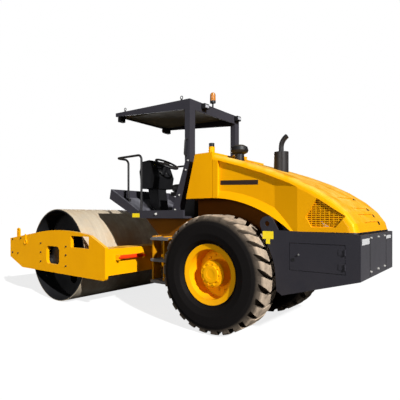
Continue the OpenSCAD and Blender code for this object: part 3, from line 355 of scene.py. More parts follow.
def painted(name, paint, shade, smooth=0.25, rough=0.42, coat=0.35, wear=0.5, on_top=0.25, near=0.35,
            height=1.0, bare=BARE, gloss=0.5, tint=WHITE, film=DUST):
    """A painted metal finish. A tint colours the gloss, which keeps a strong paint deep."""
    material, tree, shader = start_finish(name)
    skin = use_group(tree, enamel, Paint=paint, Shade=shade, Blend=0.6, Smooth=smooth, Rough=rough)
    worn = use_group(tree, chips, Bare=bare, Amount=wear)
    dusty = use_group(tree, dust, Dust=film, On_Top=on_top, Near_Ground=near, Height=height)
    wire(tree, (skin, "Color"), (worn, "Color"))
    wire(tree, (worn, "Color"), (dusty, "Color"))
    wire(tree, (dusty, "Color"), (shader, "Base Color"))
    matt = do_math(tree, "MULTIPLY", (dusty, "Mask"), 0.5)
    wire(tree, do_math(tree, "ADD", (skin, "Roughness"), matt, clamp=True), (shader, "Roughness"))
    set_inputs(shader, Coat_Weight=coat, Coat_Roughness=0.12, Specular_IOR_Level=gloss, Specular_Tint=tint)
    raise_bump(tree, shader, (skin, "Height"), 0.0006, 0.35)
    return material


print("painted finish ready, dust:", DUST[:3])

# %% [markdown]
# The machine's yellow is one enamel, bright on the wheels. Under the platform and in the wheel arches it is
# a dark brown, which is painted shade with some dust on it, and the ladder's darker yellow is painted shade.
# Faces that look up carry a thin pale film, which is partly dust and partly a painted sheen. Slate gray
# covers the rear chassis and the canopy. The side panels get a darker slate as painted shade, and the tail
# a lighter one as painted light. The deck's pale gray film on top is a painted reflection of the sky.

# %% Paints
GOLD = solid(1.0, 0.62, 0.10)
# The pale film on faces that look up is partly dust and partly a painted sheen.
yellow = painted("machine_yellow", solid(0.80, 0.355, 0.001), solid(0.72, 0.305, 0.001), coat=0.04, wear=0.25,
                 on_top=0.55, near=0.0, gloss=0.45, tint=GOLD, film=solid(0.92, 0.66, 0.20))
rim_yellow = painted("wheel_yellow", solid(0.86, 0.385, 0.001), solid(0.78, 0.330, 0.001), coat=0.04,
                     wear=0.3, on_top=0.02, near=0.04, gloss=0.45, tint=GOLD)
# The frame's and the arches' dark brown is painted shade on the yellow, with dust on top.
frame_brown = painted("shaded_frame_yellow", solid(0.14, 0.046, 0.003), solid(0.06, 0.020, 0.003), smooth=0.45,
                      rough=0.7, coat=0.0, wear=0.6, on_top=0.2, near=0.12, height=1.2, gloss=0.2, tint=GOLD)
arch_brown = painted("shaded_arch_yellow", solid(0.085, 0.021, 0.002), solid(0.040, 0.010, 0.002), smooth=0.45,
                     rough=0.7, coat=0.0, wear=0.5, on_top=0.1, near=0.04, height=1.2, gloss=0.15, tint=GOLD)
step_yellow = painted("shaded_step_yellow", solid(0.50, 0.20, 0.002), solid(0.36, 0.14, 0.003), smooth=0.4,
                      rough=0.6, coat=0.0, wear=0.6, on_top=0.15, near=0.08, gloss=0.3, tint=GOLD)
SLATE_WEAR = dict(smooth=0.36, rough=0.52, coat=0.03, wear=0.35, on_top=0.06, near=0.05, gloss=0.12,
                  bare=solid(0.16, 0.16, 0.16))
SLATE, SLATE_SHADE = solid(0.037, 0.035, 0.043), solid(0.030, 0.029, 0.035)
slate = painted("slate_gray", SLATE, SLATE_SHADE, **SLATE_WEAR)
# The side panels' darker slate is painted shade, and the tail's lighter slate is painted light from behind.
shaded_panel_slate = painted("shaded_panel_slate", solid(0.027, 0.0255, 0.032), solid(0.022, 0.021, 0.026), **SLATE_WEAR)
tail_slate = painted("lit_tail_slate", solid(0.053, 0.051, 0.057), solid(0.044, 0.043, 0.047), **SLATE_WEAR)
# The deck's pale gray film on top is a painted reflection of the sky.
deck_slate = painted("deck_slate", SLATE, SLATE_SHADE, smooth=0.3, rough=0.45, coat=0.1, wear=0.5, on_top=0.8,
                     near=0.0, gloss=0.2, film=solid(0.17, 0.17, 0.19))
satin_black = painted("satin_black", solid(0.016, 0.015, 0.016), solid(0.022, 0.021, 0.021), smooth=0.3,
                      rough=0.5, coat=0.0, wear=0.4, on_top=0.06, near=0.05, bare=solid(0.18, 0.17, 0.16),
                      gloss=0.25)
lock_red = painted("lock_red", solid(0.86, 0.040, 0.004), solid(0.68, 0.030, 0.004), coat=0.1, wear=0.2,
                   on_top=0.03, near=0.0, gloss=0.3)
cast_iron = painted("cast_iron", solid(0.03, 0.031, 0.033), solid(0.06, 0.055, 0.05), smooth=0.5, rough=0.75,
                    coat=0.0, wear=0.3, on_top=0.4, near=0.1, gloss=0.3)
plated = painted("zinc_plate", solid(0.50, 0.49, 0.46), solid(0.36, 0.35, 0.33), smooth=0.3, rough=0.5,
                 coat=0.0, wear=0.4, on_top=0.2, near=0.2)
tread_gray = painted("tread_gray", solid(0.085, 0.085, 0.09), solid(0.13, 0.125, 0.12), smooth=0.4,
                     rough=0.65, coat=0.0, wear=0.7, on_top=0.45, near=0.2, bare=solid(0.4, 0.39, 0.37))
print("materials so far:", len(bpy.data.materials))

# %% [markdown]
# The drum and the tyres turn about axles along Y, and their finishes change with the distance from the axle.
# One helper works that distance out from Object coordinates, so the finish turns with the wheel.

# %% Distance from an axle


def middle_of(low, high):
    """The middle of a box, from its two corners."""
    return [(a + b) / 2 for a, b in zip(low, high)]


def plain_colour(tree, r, g, b):
    """A colour to be mixed with others."""
    node = add_node(tree, "RGB")
    node.outputs[0].default_value = solid(r, g, b)
    return node, 0


def reach_from_axle(tree, node):
    """The distance of a point from a round solid's axle, as a socket, and the solid's radius."""
    low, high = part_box(node)
    centred = add_node(tree, "Mapping")
    set_inputs(centred, Location=[-value for value in middle_of(low, high)])
    wire(tree, object_place(tree), (centred, "Vector"))
    split = add_node(tree, "SeparateXYZ")
    wire(tree, (centred, 0), (split, 0))
    squares = [do_math(tree, "MULTIPLY", (split, axis), (split, axis)) for axis in ("X", "Z")]
    return do_math(tree, "SQRT", do_math(tree, "ADD", *squares), 0.0), (high[2] - low[2]) / 2


# %% [markdown]
# The drum's shell is rolled steel that the ground keeps bare. It shows bands round its shell, tan dust and a
# film of rust. Noise that is squeezed across the drum's width draws the bands. Inside, the drum is painted
# black, and only what lies right at the outer radius is bare.

# %% Drum steel
DULL_STEEL, PALE_STEEL = (0.54, 0.46, 0.35), (0.70, 0.62, 0.48)
RUST, INSIDE_BLACK = (0.42, 0.31, 0.19), (0.010, 0.010, 0.011)


def drum_steel():
    """The drum's finish: bare bands outside, black inside."""
    material, tree, shader = start_finish("rolled_steel")
    place = object_place(tree)
    squeeze = add_node(tree, "Mapping")
    set_inputs(squeeze, Scale=(0.8, 12.0, 0.8))
    wire(tree, place, (squeeze, "Vector"))
    bands = stretch(tree, noise_at(tree, (squeeze, 0), 1.0, 5.0, 0.6), 0.35, 0.7)
    patches = stretch(tree, noise_at(tree, place, 2.4, 8.0, 0.68), 0.40, 0.62)
    base = mix_colours(tree, bands, plain_colour(tree, *DULL_STEEL), plain_colour(tree, *PALE_STEEL))
    film = do_math(tree, "MULTIPLY", patches, 0.75)
    shell = mix_colours(tree, film, base, plain_colour(tree, *RUST))
    reach, radius = reach_from_axle(tree, "drum")
    outside = stretch(tree, reach, radius - 0.010, radius - 0.004)
    wire(tree, mix_colours(tree, outside, plain_colour(tree, *INSIDE_BLACK), shell), (shader, "Base Color"))
    wire(tree, stretch(tree, patches, 0.0, 1.0, 0.42, 0.70), (shader, "Roughness"))
    bare = do_math(tree, "MULTIPLY", outside, stretch(tree, patches, 0.0, 1.0, 0.40, 0.10))
    wire(tree, bare, (shader, "Metallic"))
    set_inputs(shader, Specular_IOR_Level=0.3)
    raise_bump(tree, shader, bands, 0.0008, 0.3)
    return material


rolled_steel = drum_steel()
print("drum:", rolled_steel.name)

# %% [markdown]
# A tyre is black on its side walls and dusty where its lugs meet the ground. The distance from the axle
# tells the two apart, with a soft change over the shoulder. Noise makes the dust uneven.

# %% Tyre rubber
WALL_BLACK, LUG_DUST = (0.006, 0.005, 0.0048), (0.41, 0.32, 0.235)


def tyre_rubber(node):
    """A tyre's finish: black walls, and dust on the lugs."""
    material, tree, shader = start_finish(node + "_rubber")
    reach, radius = reach_from_axle(tree, node)
    lug_top = stretch(tree, reach, radius - 0.028, radius - 0.008)
    shoulder = stretch(tree, reach, radius - 0.085, radius - 0.035, 0.0, 0.26)
    cloud = stretch(tree, noise_at(tree, object_place(tree), 9.0, 7.0, 0.65), 0.30, 0.60, 0.45, 1.0)
    dusty = do_math(tree, "MULTIPLY", do_math(tree, "MAXIMUM", lug_top, shoulder), cloud, clamp=True)
    colour = mix_colours(tree, dusty, plain_colour(tree, *WALL_BLACK), plain_colour(tree, *LUG_DUST))
    wire(tree, colour, (shader, "Base Color"))
    wire(tree, stretch(tree, cloud, 0.45, 1.0, 0.62, 0.85), (shader, "Roughness"))
    set_inputs(shader, Specular_IOR_Level=0.08)
    cells = use_group(tree, grain, Scale=260.0)
    raise_bump(tree, shader, (cells, "Height"), 0.0012, 0.4)
    return material


rubber = {node: tyre_rubber(node) for node in ("tyre_left", "tyre_right")}
print("tyres:", [material.name for material in rubber.values()])

# %% [markdown]
# Plastic covers, seat vinyl, the floor mat and the roof's liner are moulded. They differ in tone and in the
# size of their grain, so one helper makes all four.

# %% Moulded finishes


def moulded(name, dark, light, scale, smooth, rough, height, on_top=0.2):
    """A moulded finish with a grain of small cells."""
    material, tree, shader = start_finish(name)
    cells = use_group(tree, grain, Scale=scale)
    skin = use_group(tree, enamel, Paint=dark, Shade=light, Blend=0.5, Smooth=smooth, Rough=rough)
    dusty = use_group(tree, dust, Dust=DUST, On_Top=on_top, Near_Ground=0.0, Height=1.0)
    wire(tree, (skin, "Color"), (dusty, "Color"))
    wire(tree, (dusty, "Color"), (shader, "Base Color"))
    wire(tree, (skin, "Roughness"), (shader, "Roughness"))
    set_inputs(shader, Specular_IOR_Level=0.35)
    raise_bump(tree, shader, (cells, "Height"), height, 0.5)
    return material


plastic = moulded("black_plastic", solid(0.004, 0.004, 0.005), solid(0.009, 0.009, 0.010), 520.0,
                  smooth=0.38, rough=0.58, height=0.0006)
vinyl = moulded("seat_vinyl", solid(0.008, 0.008, 0.009), solid(0.016, 0.015, 0.015), 300.0,
                smooth=0.42, rough=0.6, height=0.0009)
mat_rubber = moulded("mat_rubber", solid(0.030, 0.030, 0.031), solid(0.050, 0.048, 0.046), 240.0,
                     smooth=0.6, rough=0.85, height=0.001, on_top=0.5)
liner = moulded("roof_liner", solid(0.105, 0.095, 0.060), solid(0.080, 0.072, 0.048), 200.0,
                smooth=0.7, rough=0.9, height=0.0010, on_top=0.0)
print("moulded:", [material.name for material in (plastic, vinyl, mat_rubber, liner)])

# %% [markdown]
# The lenses are clear plastic over a bright reflector, drawn with fine flutes. A chromed rod is smooth metal
# with an oil film, so its roughness changes along it.

# %% Lenses and chrome


def fluted(name, light, deep, rough, flutes):
    """A lens with flutes, which change its tone and its normal."""
    material, tree, shader = start_finish(name)
    wave = add_node(tree, "TexWave", bands_direction="Z", Scale=flutes, Distortion=0.4)
    wire(tree, object_place(tree), (wave, "Vector"))
    tone = mix_colours(tree, (wave, "Fac"), plain_colour(tree, *light), plain_colour(tree, *deep))
    wire(tree, tone, (shader, "Base Color"))
    wire(tree, stretch(tree, (wave, "Fac"), 0.0, 1.0, rough, rough + 0.12), (shader, "Roughness"))
    set_inputs(shader, Coat_Weight=0.8)
    raise_bump(tree, shader, (wave, "Fac"), 0.002, 0.4)
    return material


def chromed():
    """Bright metal under an uneven film of oil."""
    material, tree, shader = start_finish("rod_chrome")
    place = object_place(tree)
    film = stretch(tree, noise_at(tree, place, 30.0, 4.0), 0.3, 0.7, 0.06, 0.22)
    wire(tree, film, (shader, "Roughness"))
    tone = add_node(tree, "ValToRGB")
    tone.color_ramp.elements[0].color = solid(0.62, 0.63, 0.65)
    tone.color_ramp.elements[1].color = solid(0.82, 0.82, 0.83)
    wire(tree, noise_at(tree, place, 14.0, 3.0), (tone, 0))
    wire(tree, (tone, 0), (shader, "Base Color"))
    set_inputs(shader, Metallic=1.0)
    return material


lens = fluted("lamp_lens", (0.46, 0.47, 0.50), (0.38, 0.39, 0.42), 0.08, 30.0)
amber = fluted("amber_lens", (0.52, 0.20, 0.03), (0.40, 0.13, 0.015), 0.12, 40.0)
chrome = chromed()
print("bright finishes:", [material.name for material in (lens, amber, chrome)])

# %% [markdown]
# Each solid gets its finish by name. A solid's shape isn't touched here: only its material slots change.

# %% Finishes on the solids
FINISH = {
    yellow: "tank filler_neck hood hood_hinges hood_grilles knuckle side_plate_left side_plate_right "
            "front_beam rear_beam scrapers",
    rim_yellow: "rim_left rim_right",
    frame_brown: "platform_brackets",
    arch_brown: "rear_frame",
    step_yellow: "ladder_left ladder_right",
    slate: "post_left post_right roof",
    shaded_panel_slate: "side_panel_left side_panel_right door_left door_right",
    tail_slate: "rear_box",
    deck_slate: "platform",
    satin_black: "rear_axle drum_mount_left drum_mount_right handrail_left handrail_right barrel_left "
                 "barrel_right muffler seat_base",
    plastic: "filler_cap console steering_wheel control_box front_lamps rear_lamps beacon_stand precleaner",
    cast_iron: "engine_block",
    lock_red: "lock_bar",
    rolled_steel: "drum",
    chrome: "rod_left rod_right",
    amber: "beacon_dome",
    vinyl: "seat_cushion seat_back",
    rubber["tyre_left"]: "tyre_left",
    rubber["tyre_right"]: "tyre_right",
}
finished = [(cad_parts[name], finish) for finish, names in FINISH.items() for name in names.split()]
for node, finish in finished:
    node.data.materials.clear()
    node.data.materials.append(finish)
print("solids with a finish:", len(finished), "of", len(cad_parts))

# %% [markdown]
# From here on, pieces are modelled as by hand. A primitive is added, its faces are picked by where they lie
# or look, and edit-mode operators shape it. An operator acts on all that is selected, so each helper clears
# the selection before it adds or opens anything.

# %% Picking faces
LEFT, RIGHT, FRONT, REAR, UP, DOWN = (0, 1, 0), (0, -1, 0), (1, 0, 0), (-1, 0, 0), (0, 0, 1), (0, 0, -1)
SIDES = (("left", 1, LEFT), ("right", -1, RIGHT))


def clear_selection():
    if bpy.context.mode != "OBJECT":
        bpy.ops.object.mode_set(mode="OBJECT")
    bpy.ops.object.select_all(action="DESELECT")


def make_active(piece):
    clear_selection()
    piece.select_set(True)
    bpy.context.view_layer.objects.active = piece


def open_edit(piece):
    make_active(piece)
    bpy.ops.object.mode_set(mode="EDIT")


def close_edit():
    bpy.ops.object.mode_set(mode="OBJECT")


def pick_faces(test):
    """In edit mode, selects the faces whose middle and normal pass a test."""
    bpy.ops.mesh.select_mode(type="FACE")
    bpy.ops.mesh.select_all(action="DESELECT")
    work = bmesh.from_edit_mesh(bpy.context.edit_object.data)
    for face in work.faces:
        face.select_set(test(face.calc_center_median(), face.normal))
    bmesh.update_edit_mesh(bpy.context.edit_object.data)


def pick_facing(way, least=0.9):
    """In edit mode, selects the faces that look along a direction."""
    pick_faces(lambda middle, normal: normal.dot(Vector(way)) > least)


def extrude(x=0.0, y=0.0, z=0.0):
    bpy.ops.mesh.extrude_region_move(TRANSFORM_OT_translate={"value": (x, y, z)})


print("directions:", LEFT, RIGHT, FRONT, REAR, UP, DOWN)

# %% [markdown]
# Most pieces start from a box or a cylinder. Pressed and cast edges are never sharp, so a box gets its edges
# rounded by a Bevel modifier, which is applied at once. A cylinder is turned to its axle before it is opened,
# so that its faces can be picked by the machine's own directions.

# %% Starting shapes
ACROSS, ALONG = (QUARTER, 0, 0), (0, QUARTER, 0)


def add_modifier(piece, kind, **settings):
    """Adds a modifier and applies it."""
    make_active(piece)
    tool = piece.modifiers.new(kind.lower(), kind)
    for key, value in settings.items():
        setattr(tool, key, value)
    bpy.ops.object.modifier_apply(modifier=tool.name)


def bevelled_box(low, high, width, segments=2):
    """A box between two corners with rounded edges."""
    clear_selection()
    bpy.ops.mesh.primitive_cube_add(size=1, location=middle_of(low, high))
    piece = bpy.context.object
    piece.scale = [b - a for a, b in zip(low, high)]
    bpy.ops.object.transform_apply(location=False, rotation=False, scale=True)
    add_modifier(piece, "BEVEL", width=width, segments=segments, limit_method="ANGLE")
    return piece


def round_blank(vertices, radius, depth, middle, turn=(0, 0, 0)):
    """A cylinder to start a round piece from, with its turn applied, open in edit mode."""
    clear_selection()
    bpy.ops.mesh.primitive_cylinder_add(vertices=vertices, radius=radius, depth=depth, location=middle,
                                        rotation=turn)
    blank = bpy.context.object
    bpy.ops.object.transform_apply(location=False, rotation=True, scale=False)
    bpy.ops.object.mode_set(mode="EDIT")
    return blank


print("starting shapes ready")

# %% [markdown]
# A finished piece lies at the origin with its place in its mesh, as the solids do. One helper sets it down so
# with its name, finish, slot and body. What repeats is modelled once, and each copy has its own mesh.

# %% Setting down and copying


def place_in_mesh():
    """Moves the active piece's place and turn into its mesh."""
    bpy.ops.object.transform_apply(location=True, rotation=True, scale=True)


def settle(piece, name, body, finish, sharp=35):
    """Applies the piece's place, and gives it its name, finish, slot and body."""
    make_active(piece)
    place_in_mesh()
    bpy.ops.object.shade_smooth_by_angle(angle=math.radians(sharp))
    piece.name = name
    piece.data.name = name
    piece.data.materials.clear()
    piece.data.materials.append(finish)
    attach(piece, body)
    print(name + ":", len(piece.data.polygons), "faces")


def join(pieces):
    clear_selection()
    for piece in pieces:
        piece.select_set(True)
    bpy.context.view_layer.objects.active = pieces[0]
    bpy.ops.object.join()
    return bpy.context.object


def copies(model, places):
    """Copies of a model that stands on Z, joined: each place is a point and the way that its top looks."""
    made = []
    for point, way in places:
        one = model.copy()
        one.data = model.data.copy()
        scene.collection.objects.link(one)
        one.location = point
        one.rotation_euler = Vector(way).to_track_quat("Z", "Y").to_euler()
        made.append(one)
    return join(made)


def skin_copy(node):
    """A copy of a solid's mesh, merged at its corners, open in edit mode with all of it selected."""
    skin = bpy.data.objects.new(node + "_skin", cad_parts[node].data.copy())
    scene.collection.objects.link(skin)
    open_edit(skin)
    bpy.ops.mesh.select_all(action="SELECT")
    bpy.ops.mesh.remove_doubles(threshold=0.0001)
    return skin


print("copying helpers ready")

# %% [markdown]
# The seat has two foam pads under vinyl. A pad swells between its seams, so it is blown up as cloth with a
# little pressure from a form that is slightly too small, and every point is held back from moving too far.

# %% Seat pads
PAD_INSET, PAD_SWELL, PAD_FRAMES = 0.012, 0.014, 20


def swell(pad):
    """Blows a pad up as cloth, and holds each point near its start."""
    start = [vertex.co.copy() for vertex in pad.data.vertices]
    cloth = pad.modifiers.new("cloth", "CLOTH")
    cloth.settings.use_pressure = True
    cloth.settings.uniform_pressure_force = 4.0
    cloth.settings.effector_weights.gravity = 0.0
    cloth.settings.quality = 6
    cloth.point_cache.frame_start = 1
    cloth.point_cache.frame_end = PAD_FRAMES
    for step in range(1, PAD_FRAMES + 1):
        scene.frame_set(step)
    make_active(pad)
    bpy.ops.object.modifier_apply(modifier="cloth")
    scene.frame_set(1)
    for vertex, origin in zip(pad.data.vertices, start):
        move = vertex.co - origin
        if move.length > PAD_SWELL:
            vertex.co = origin + move * (PAD_SWELL / move.length)


def stuffed_pad(node):
    """A padded copy of a solid: smaller, rounded, then swollen by a cloth simulation."""
    pad = skin_copy(node)
    bpy.ops.mesh.tris_convert_to_quads()
    low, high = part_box(node)
    bpy.ops.transform.resize(value=[1 - 2 * PAD_INSET / (b - a) for a, b in zip(low, high)],
                             center_override=middle_of(low, high))
    close_edit()
    add_modifier(pad, "BEVEL", width=0.026, segments=4, limit_method="ANGLE")
    add_modifier(pad, "REMESH", mode="VOXEL", voxel_size=0.008)
    swell(pad)
    add_modifier(pad, "SMOOTH", factor=0.5, iterations=6)
    add_modifier(pad, "SUBSURF", levels=1, render_levels=1)
    return pad


pads = {node: stuffed_pad(node) for node in ("seat_cushion", "seat_back")}
for node, pad in pads.items():
    settle(pad, node + "_pad", "rear_frame", vinyl, 80)
    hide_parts(node)

# %% [markdown]
# Hex bolts hold the machine's plates. One is modelled with a flange under its head and a chamfer on top, in
# three sizes, and copied to each place that the picture shows. Each copy set is one piece. The measures are
# shares of the head's width, so the three sizes have one shape.

# %% Hex bolt models
HEAD_TALL, CHAMFER, CROWN, FLANGE_OUT, FLANGE_THICK = 0.55, 0.10, 0.07, 1.32, 0.12


def hex_bolt(width):
    """A flanged bolt head that stands on Z = 0."""
    tall = width * HEAD_TALL
    bolt = round_blank(6, width / 2, tall, (0, 0, tall / 2))
    pick_facing(UP)
    bpy.ops.mesh.inset(thickness=width * CHAMFER)
    bpy.ops.transform.translate(value=(0, 0, width * CROWN))
    pick_facing(DOWN)
    extrude(z=0.0)
    bpy.ops.transform.resize(value=(FLANGE_OUT, FLANGE_OUT, 1.0))
    extrude(z=-width * FLANGE_THICK)
    close_edit()
    bolt.location.z += width * FLANGE_THICK
    place_in_mesh()
    return bolt


bolt_30, bolt_24, bolt_20 = [hex_bolt(width) for width in (0.030, 0.024, 0.020)]
print("bolt model:", len(bolt_30.data.polygons), "faces")

# %% [markdown]
# On each side plate, six bolts in two columns hold the shock mounts and four more hold the front beam. They
# are black, a painted shade for bolts that sit in shadow, so they read as dots. A tie-down lug hangs near the
# front. The places were read from the picture on the left plate, and the right plate is its mirror image.

# %% Side plate bolts and tie-down lugs
PLATE_BOLTS = [(1.946, 0.956), (1.946, 0.800), (1.946, 0.644), (1.201, 0.934), (1.201, 0.798), (1.201, 0.622),
               (2.935, 0.985), (2.935, 0.739), (2.735, 0.735), (2.633, 1.016)]
LUG_X, LUG_Z, LUG_RADIUS, LUG_THICK = 2.46, 0.955, 0.045, 0.016
plate_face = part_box("side_plate_left")[1][1]


def tie_down_lug(side):
    """A tear-shaped lug with a sunk face, standing on a plate's outer face."""
    lug = round_blank(24, LUG_RADIUS, LUG_THICK, (LUG_X, side * (plate_face + LUG_THICK / 2), LUG_Z), ACROSS)
    pick_facing(UP, 0.8)
    extrude(z=0.10)
    bpy.ops.transform.resize(value=(0.45, 1.0, 1.0))
    pick_facing((0, side, 0))
    bpy.ops.mesh.inset(thickness=0.012)
    extrude(y=-side * 0.006)
    close_edit()
    return lug


# The plate bolts are black as painted shade.
for name, side, way in SIDES:
    places = [((x, side * plate_face, z), way) for x, z in PLATE_BOLTS]
    settle(copies(bolt_24, places), "plate_bolts_" + name, "drum_frame", satin_black)
    settle(tie_down_lug(side), "tie_down_lug_" + name, "drum_frame", yellow)

# %% [markdown]
# A wheel hub carries a planetary gear, closed by a round cover with a ring of bolts. The disc behind it has a
# ring of wheel nuts. The cover is a cylinder whose face is inset and stepped.

# %% Hub covers and wheel nuts
HUB_PROUD, DISC_SET = 0.125, 0.070
COVER_RADIUS, COVER_THICK = 0.146, 0.012
COVER_RING, NUT_RING = 0.126, 0.222


def ring_places(x, y, z, radius, count, way, turn=0.0):
    """Places round an axle that runs along Y."""
    angles = [turn + 2 * math.pi * i / count for i in range(count)]
    return [((x + radius * math.cos(angle), y, z + radius * math.sin(angle)), way) for angle in angles]


def hub_cover(x, y, z, side):
    """A round cover with a raised middle and a sunk centre."""
    cover = round_blank(48, COVER_RADIUS, COVER_THICK, (x, y + side * COVER_THICK / 2, z), ACROSS)
    pick_facing((0, side, 0))
    bpy.ops.mesh.inset(thickness=0.008)
    bpy.ops.mesh.inset(thickness=0.028)
    extrude(y=side * 0.014)
    bpy.ops.transform.resize(value=(0.94, 1.0, 0.94))
    bpy.ops.mesh.inset(thickness=0.045)
    extrude(y=-side * 0.005)
    close_edit()
    return cover


for name, side, way in SIDES:
    x, middle, z = middle_of(*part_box("rim_" + name))
    hub_face, disc_face = middle + side * HUB_PROUD, middle - side * DISC_SET
    settle(hub_cover(x, hub_face, z, side), "hub_cover_" + name, "wheel_" + name, rim_yellow)
    cover_bolts = copies(bolt_20, ring_places(x, hub_face + side * COVER_THICK, z, COVER_RING, 10, way))
    settle(cover_bolts, "hub_bolts_" + name, "wheel_" + name, rim_yellow)
    nuts = copies(bolt_30, ring_places(x, disc_face, z, NUT_RING, 16, way, 0.1))
    settle(nuts, "wheel_nuts_" + name, "wheel_" + name, rim_yellow)

# %% [markdown]
# The tail is closed by a thick plate with a bolt-on centre plate, where a hitch or extra weight can go. Three
# bolts hold its upper edge and three its lower one. The plate's two seams are thin dark strips.

# %% Tail plate
SEAM_Y, SEAM_HALF, SEAM_PROUD = 0.374, 0.003, 0.0035
TAIL_BOLT_Y, TAIL_BOLT_Z = (0.345, 0.024, -0.280), (0.845, 1.195)
tail_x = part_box("rear_box")[0][0]
seams = [bevelled_box((tail_x - SEAM_PROUD, side * SEAM_Y - SEAM_HALF, 0.80),
                      (tail_x + 0.001, side * SEAM_Y + SEAM_HALF, 1.225), 0.001) for name, side, way in SIDES]
settle(join(seams), "tail_seams", "rear_frame", satin_black)
tail_places = [((tail_x, y, z), REAR) for z in TAIL_BOLT_Z for y in TAIL_BOLT_Y]
settle(copies(bolt_20, tail_places), "tail_bolts", "rear_frame", plated)

# %% [markdown]
# Each side door has a round latch with a finger hole, and a screw beside it. The latch is a disc whose face
# is inset and pushed in.

# %% Door latches and screws
LATCH_X, LATCH_Z, LATCH_RADIUS, LATCH_THICK = -2.372, 0.955, 0.019, 0.004
SCREW_X, SCREW_Z = -2.432, 1.010
panel_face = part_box("side_panel_left")[1][1]


def door_latch(side):
    """A round latch with a sunk finger hole."""
    middle = (LATCH_X, side * (panel_face + LATCH_THICK / 2), LATCH_Z)
    latch = round_blank(24, LATCH_RADIUS, LATCH_THICK, middle, ACROSS)
    pick_facing((0, side, 0))
    bpy.ops.mesh.inset(thickness=0.005)
    extrude(y=-side * 0.0035)
    close_edit()
    return latch


for name, side, way in SIDES:
    settle(door_latch(side), "door_latch_" + name, "door_" + name, plastic)
    screw = copies(bolt_20, [((SCREW_X, side * panel_face, SCREW_Z), way)])
    settle(screw, "door_screw_" + name, "door_" + name, tread_gray)

# %% [markdown]
# A bright yellow tag in the shape of a T marks the lifting eye, and a plain tag marks the platform's edge,
# beside a large bolt. Both tags are blank. They are thin plates with a small bevel, set on the panel's face.

# %% Blank tags
TAG_THICK, TAG_BEVEL = 0.0016, 0.0005
tag_yellow = painted("tag_yellow", solid(0.88, 0.66, 0.01), solid(0.80, 0.58, 0.01), wear=0.2, on_top=0.0,
                     near=0.1)
platform_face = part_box("platform")[1][1]


def blank_tag(x0, x1, z0, z1, face, side):
    """A thin plate on a face that looks to one side."""
    inner, outer = sorted((side * face, side * (face + TAG_THICK)))
    return bevelled_box((x0, inner, z0), (x1, outer, z1), TAG_BEVEL, 1)


for name, side, way in SIDES:
    tee = [blank_tag(-2.148, -2.019, 1.165, 1.252, panel_face, side),
           blank_tag(-2.108, -2.059, 1.111, 1.164, panel_face, side)]
    settle(join(tee), "lifting_tag_" + name, "rear_frame", tag_yellow)
    edge_tag = blank_tag(-0.030, 0.120, 1.402, 1.462, platform_face, side)
    settle(edge_tag, "platform_tag_" + name, "rear_frame", tag_yellow)
    edge_bolt = copies(bolt_30, [((-0.361, side * platform_face, 1.45), way)])
    settle(edge_bolt, "platform_bolt_" + name, "rear_frame", plated)

# %% [markdown]
# A plain dark stripe runs along the sunk field of each hood side, and two pale strips cross the tail. They
# are blank as well. The stripe falls a little to the rear, so it is turned about Y before it is set down.

# %% Stripes and tail strips
HOOD_FIELD, STRIPE_FALL, STRIP_TOP = 0.660, 0.045, 1.195
stripe_brown = painted("stripe_brown", solid(0.022, 0.010, 0.006), solid(0.030, 0.015, 0.009), wear=0.1,
                       on_top=0.0, near=0.0)
strip_white = painted("strip_white", solid(0.60, 0.60, 0.60), solid(0.52, 0.52, 0.52), wear=0.2, on_top=0.0,
                      near=0.1)
for name, side, way in SIDES:
    stripe = blank_tag(-1.920, -1.400, 1.799, 1.855, HOOD_FIELD, side)
    stripe.rotation_euler[1] = -STRIPE_FALL
    settle(stripe, "hood_stripe_" + name, "hood", stripe_brown)
strips = [bevelled_box((tail_x - TAG_THICK, y0, z0), (tail_x, y1, STRIP_TOP), TAG_BEVEL, 1)
          for y0, y1, z0 in ((0.400, 0.680, 1.135), (-0.640, -0.395, 1.155))]
settle(join(strips), "tail_strips", "rear_frame", strip_white)

# %% [markdown]
# Behind the bars of each grille lies a fine wire screen that keeps leaves out. A grid is cut to the opening's
# five edges, and each of its edges then becomes a wire.

# %% Grille screens
SCREEN_DEPTH, SCREEN_PITCH, WIRE = 0.656, 0.009, 0.0065
GRILLE = [(-2.608, 1.607), (-2.887, 1.419), (-2.794, 1.303), (-2.550, 1.303), (-2.489, 1.413)]


def grille_screen(side):
    """A screen of crossed wires in the grille's outline."""
    xs, zs = [x for x, z in GRILLE], [z for x, z in GRILLE]
    wide, tall = max(xs) - min(xs), max(zs) - min(zs)
    middle = ((max(xs) + min(xs)) / 2, side * SCREEN_DEPTH, (max(zs) + min(zs)) / 2)
    clear_selection()
    bpy.ops.mesh.primitive_grid_add(x_subdivisions=round(wide / SCREEN_PITCH),
                                    y_subdivisions=round(tall / SCREEN_PITCH), size=1, location=middle,
                                    rotation=ACROSS)
    screen = bpy.context.object
    screen.scale = (wide, tall, 1.0)
    place_in_mesh()
    for (x0, z0), (x1, z1) in zip(GRILLE, GRILLE[1:] + GRILLE[:1]):
        open_edit(screen)
        bpy.ops.mesh.select_all(action="SELECT")
        bpy.ops.mesh.bisect(plane_co=(x0, middle[1], z0), plane_no=(z0 - z1, 0, x1 - x0), clear_inner=True)
        close_edit()
    add_modifier(screen, "WIREFRAME", thickness=WIRE, use_even_offset=False)
    return screen


for name, side, way in SIDES:
    settle(grille_screen(side), "grille_screen_" + name, "hood", yellow)

# %% [markdown]
# A black band round the hood's foot is a painted shadow of the gap there, and black plates on the louvres'
# end walls are painted shade in them. Both follow the hood's own skin: a copy of it is cut down to a band or
# to the louvres' end walls, and then thickened.

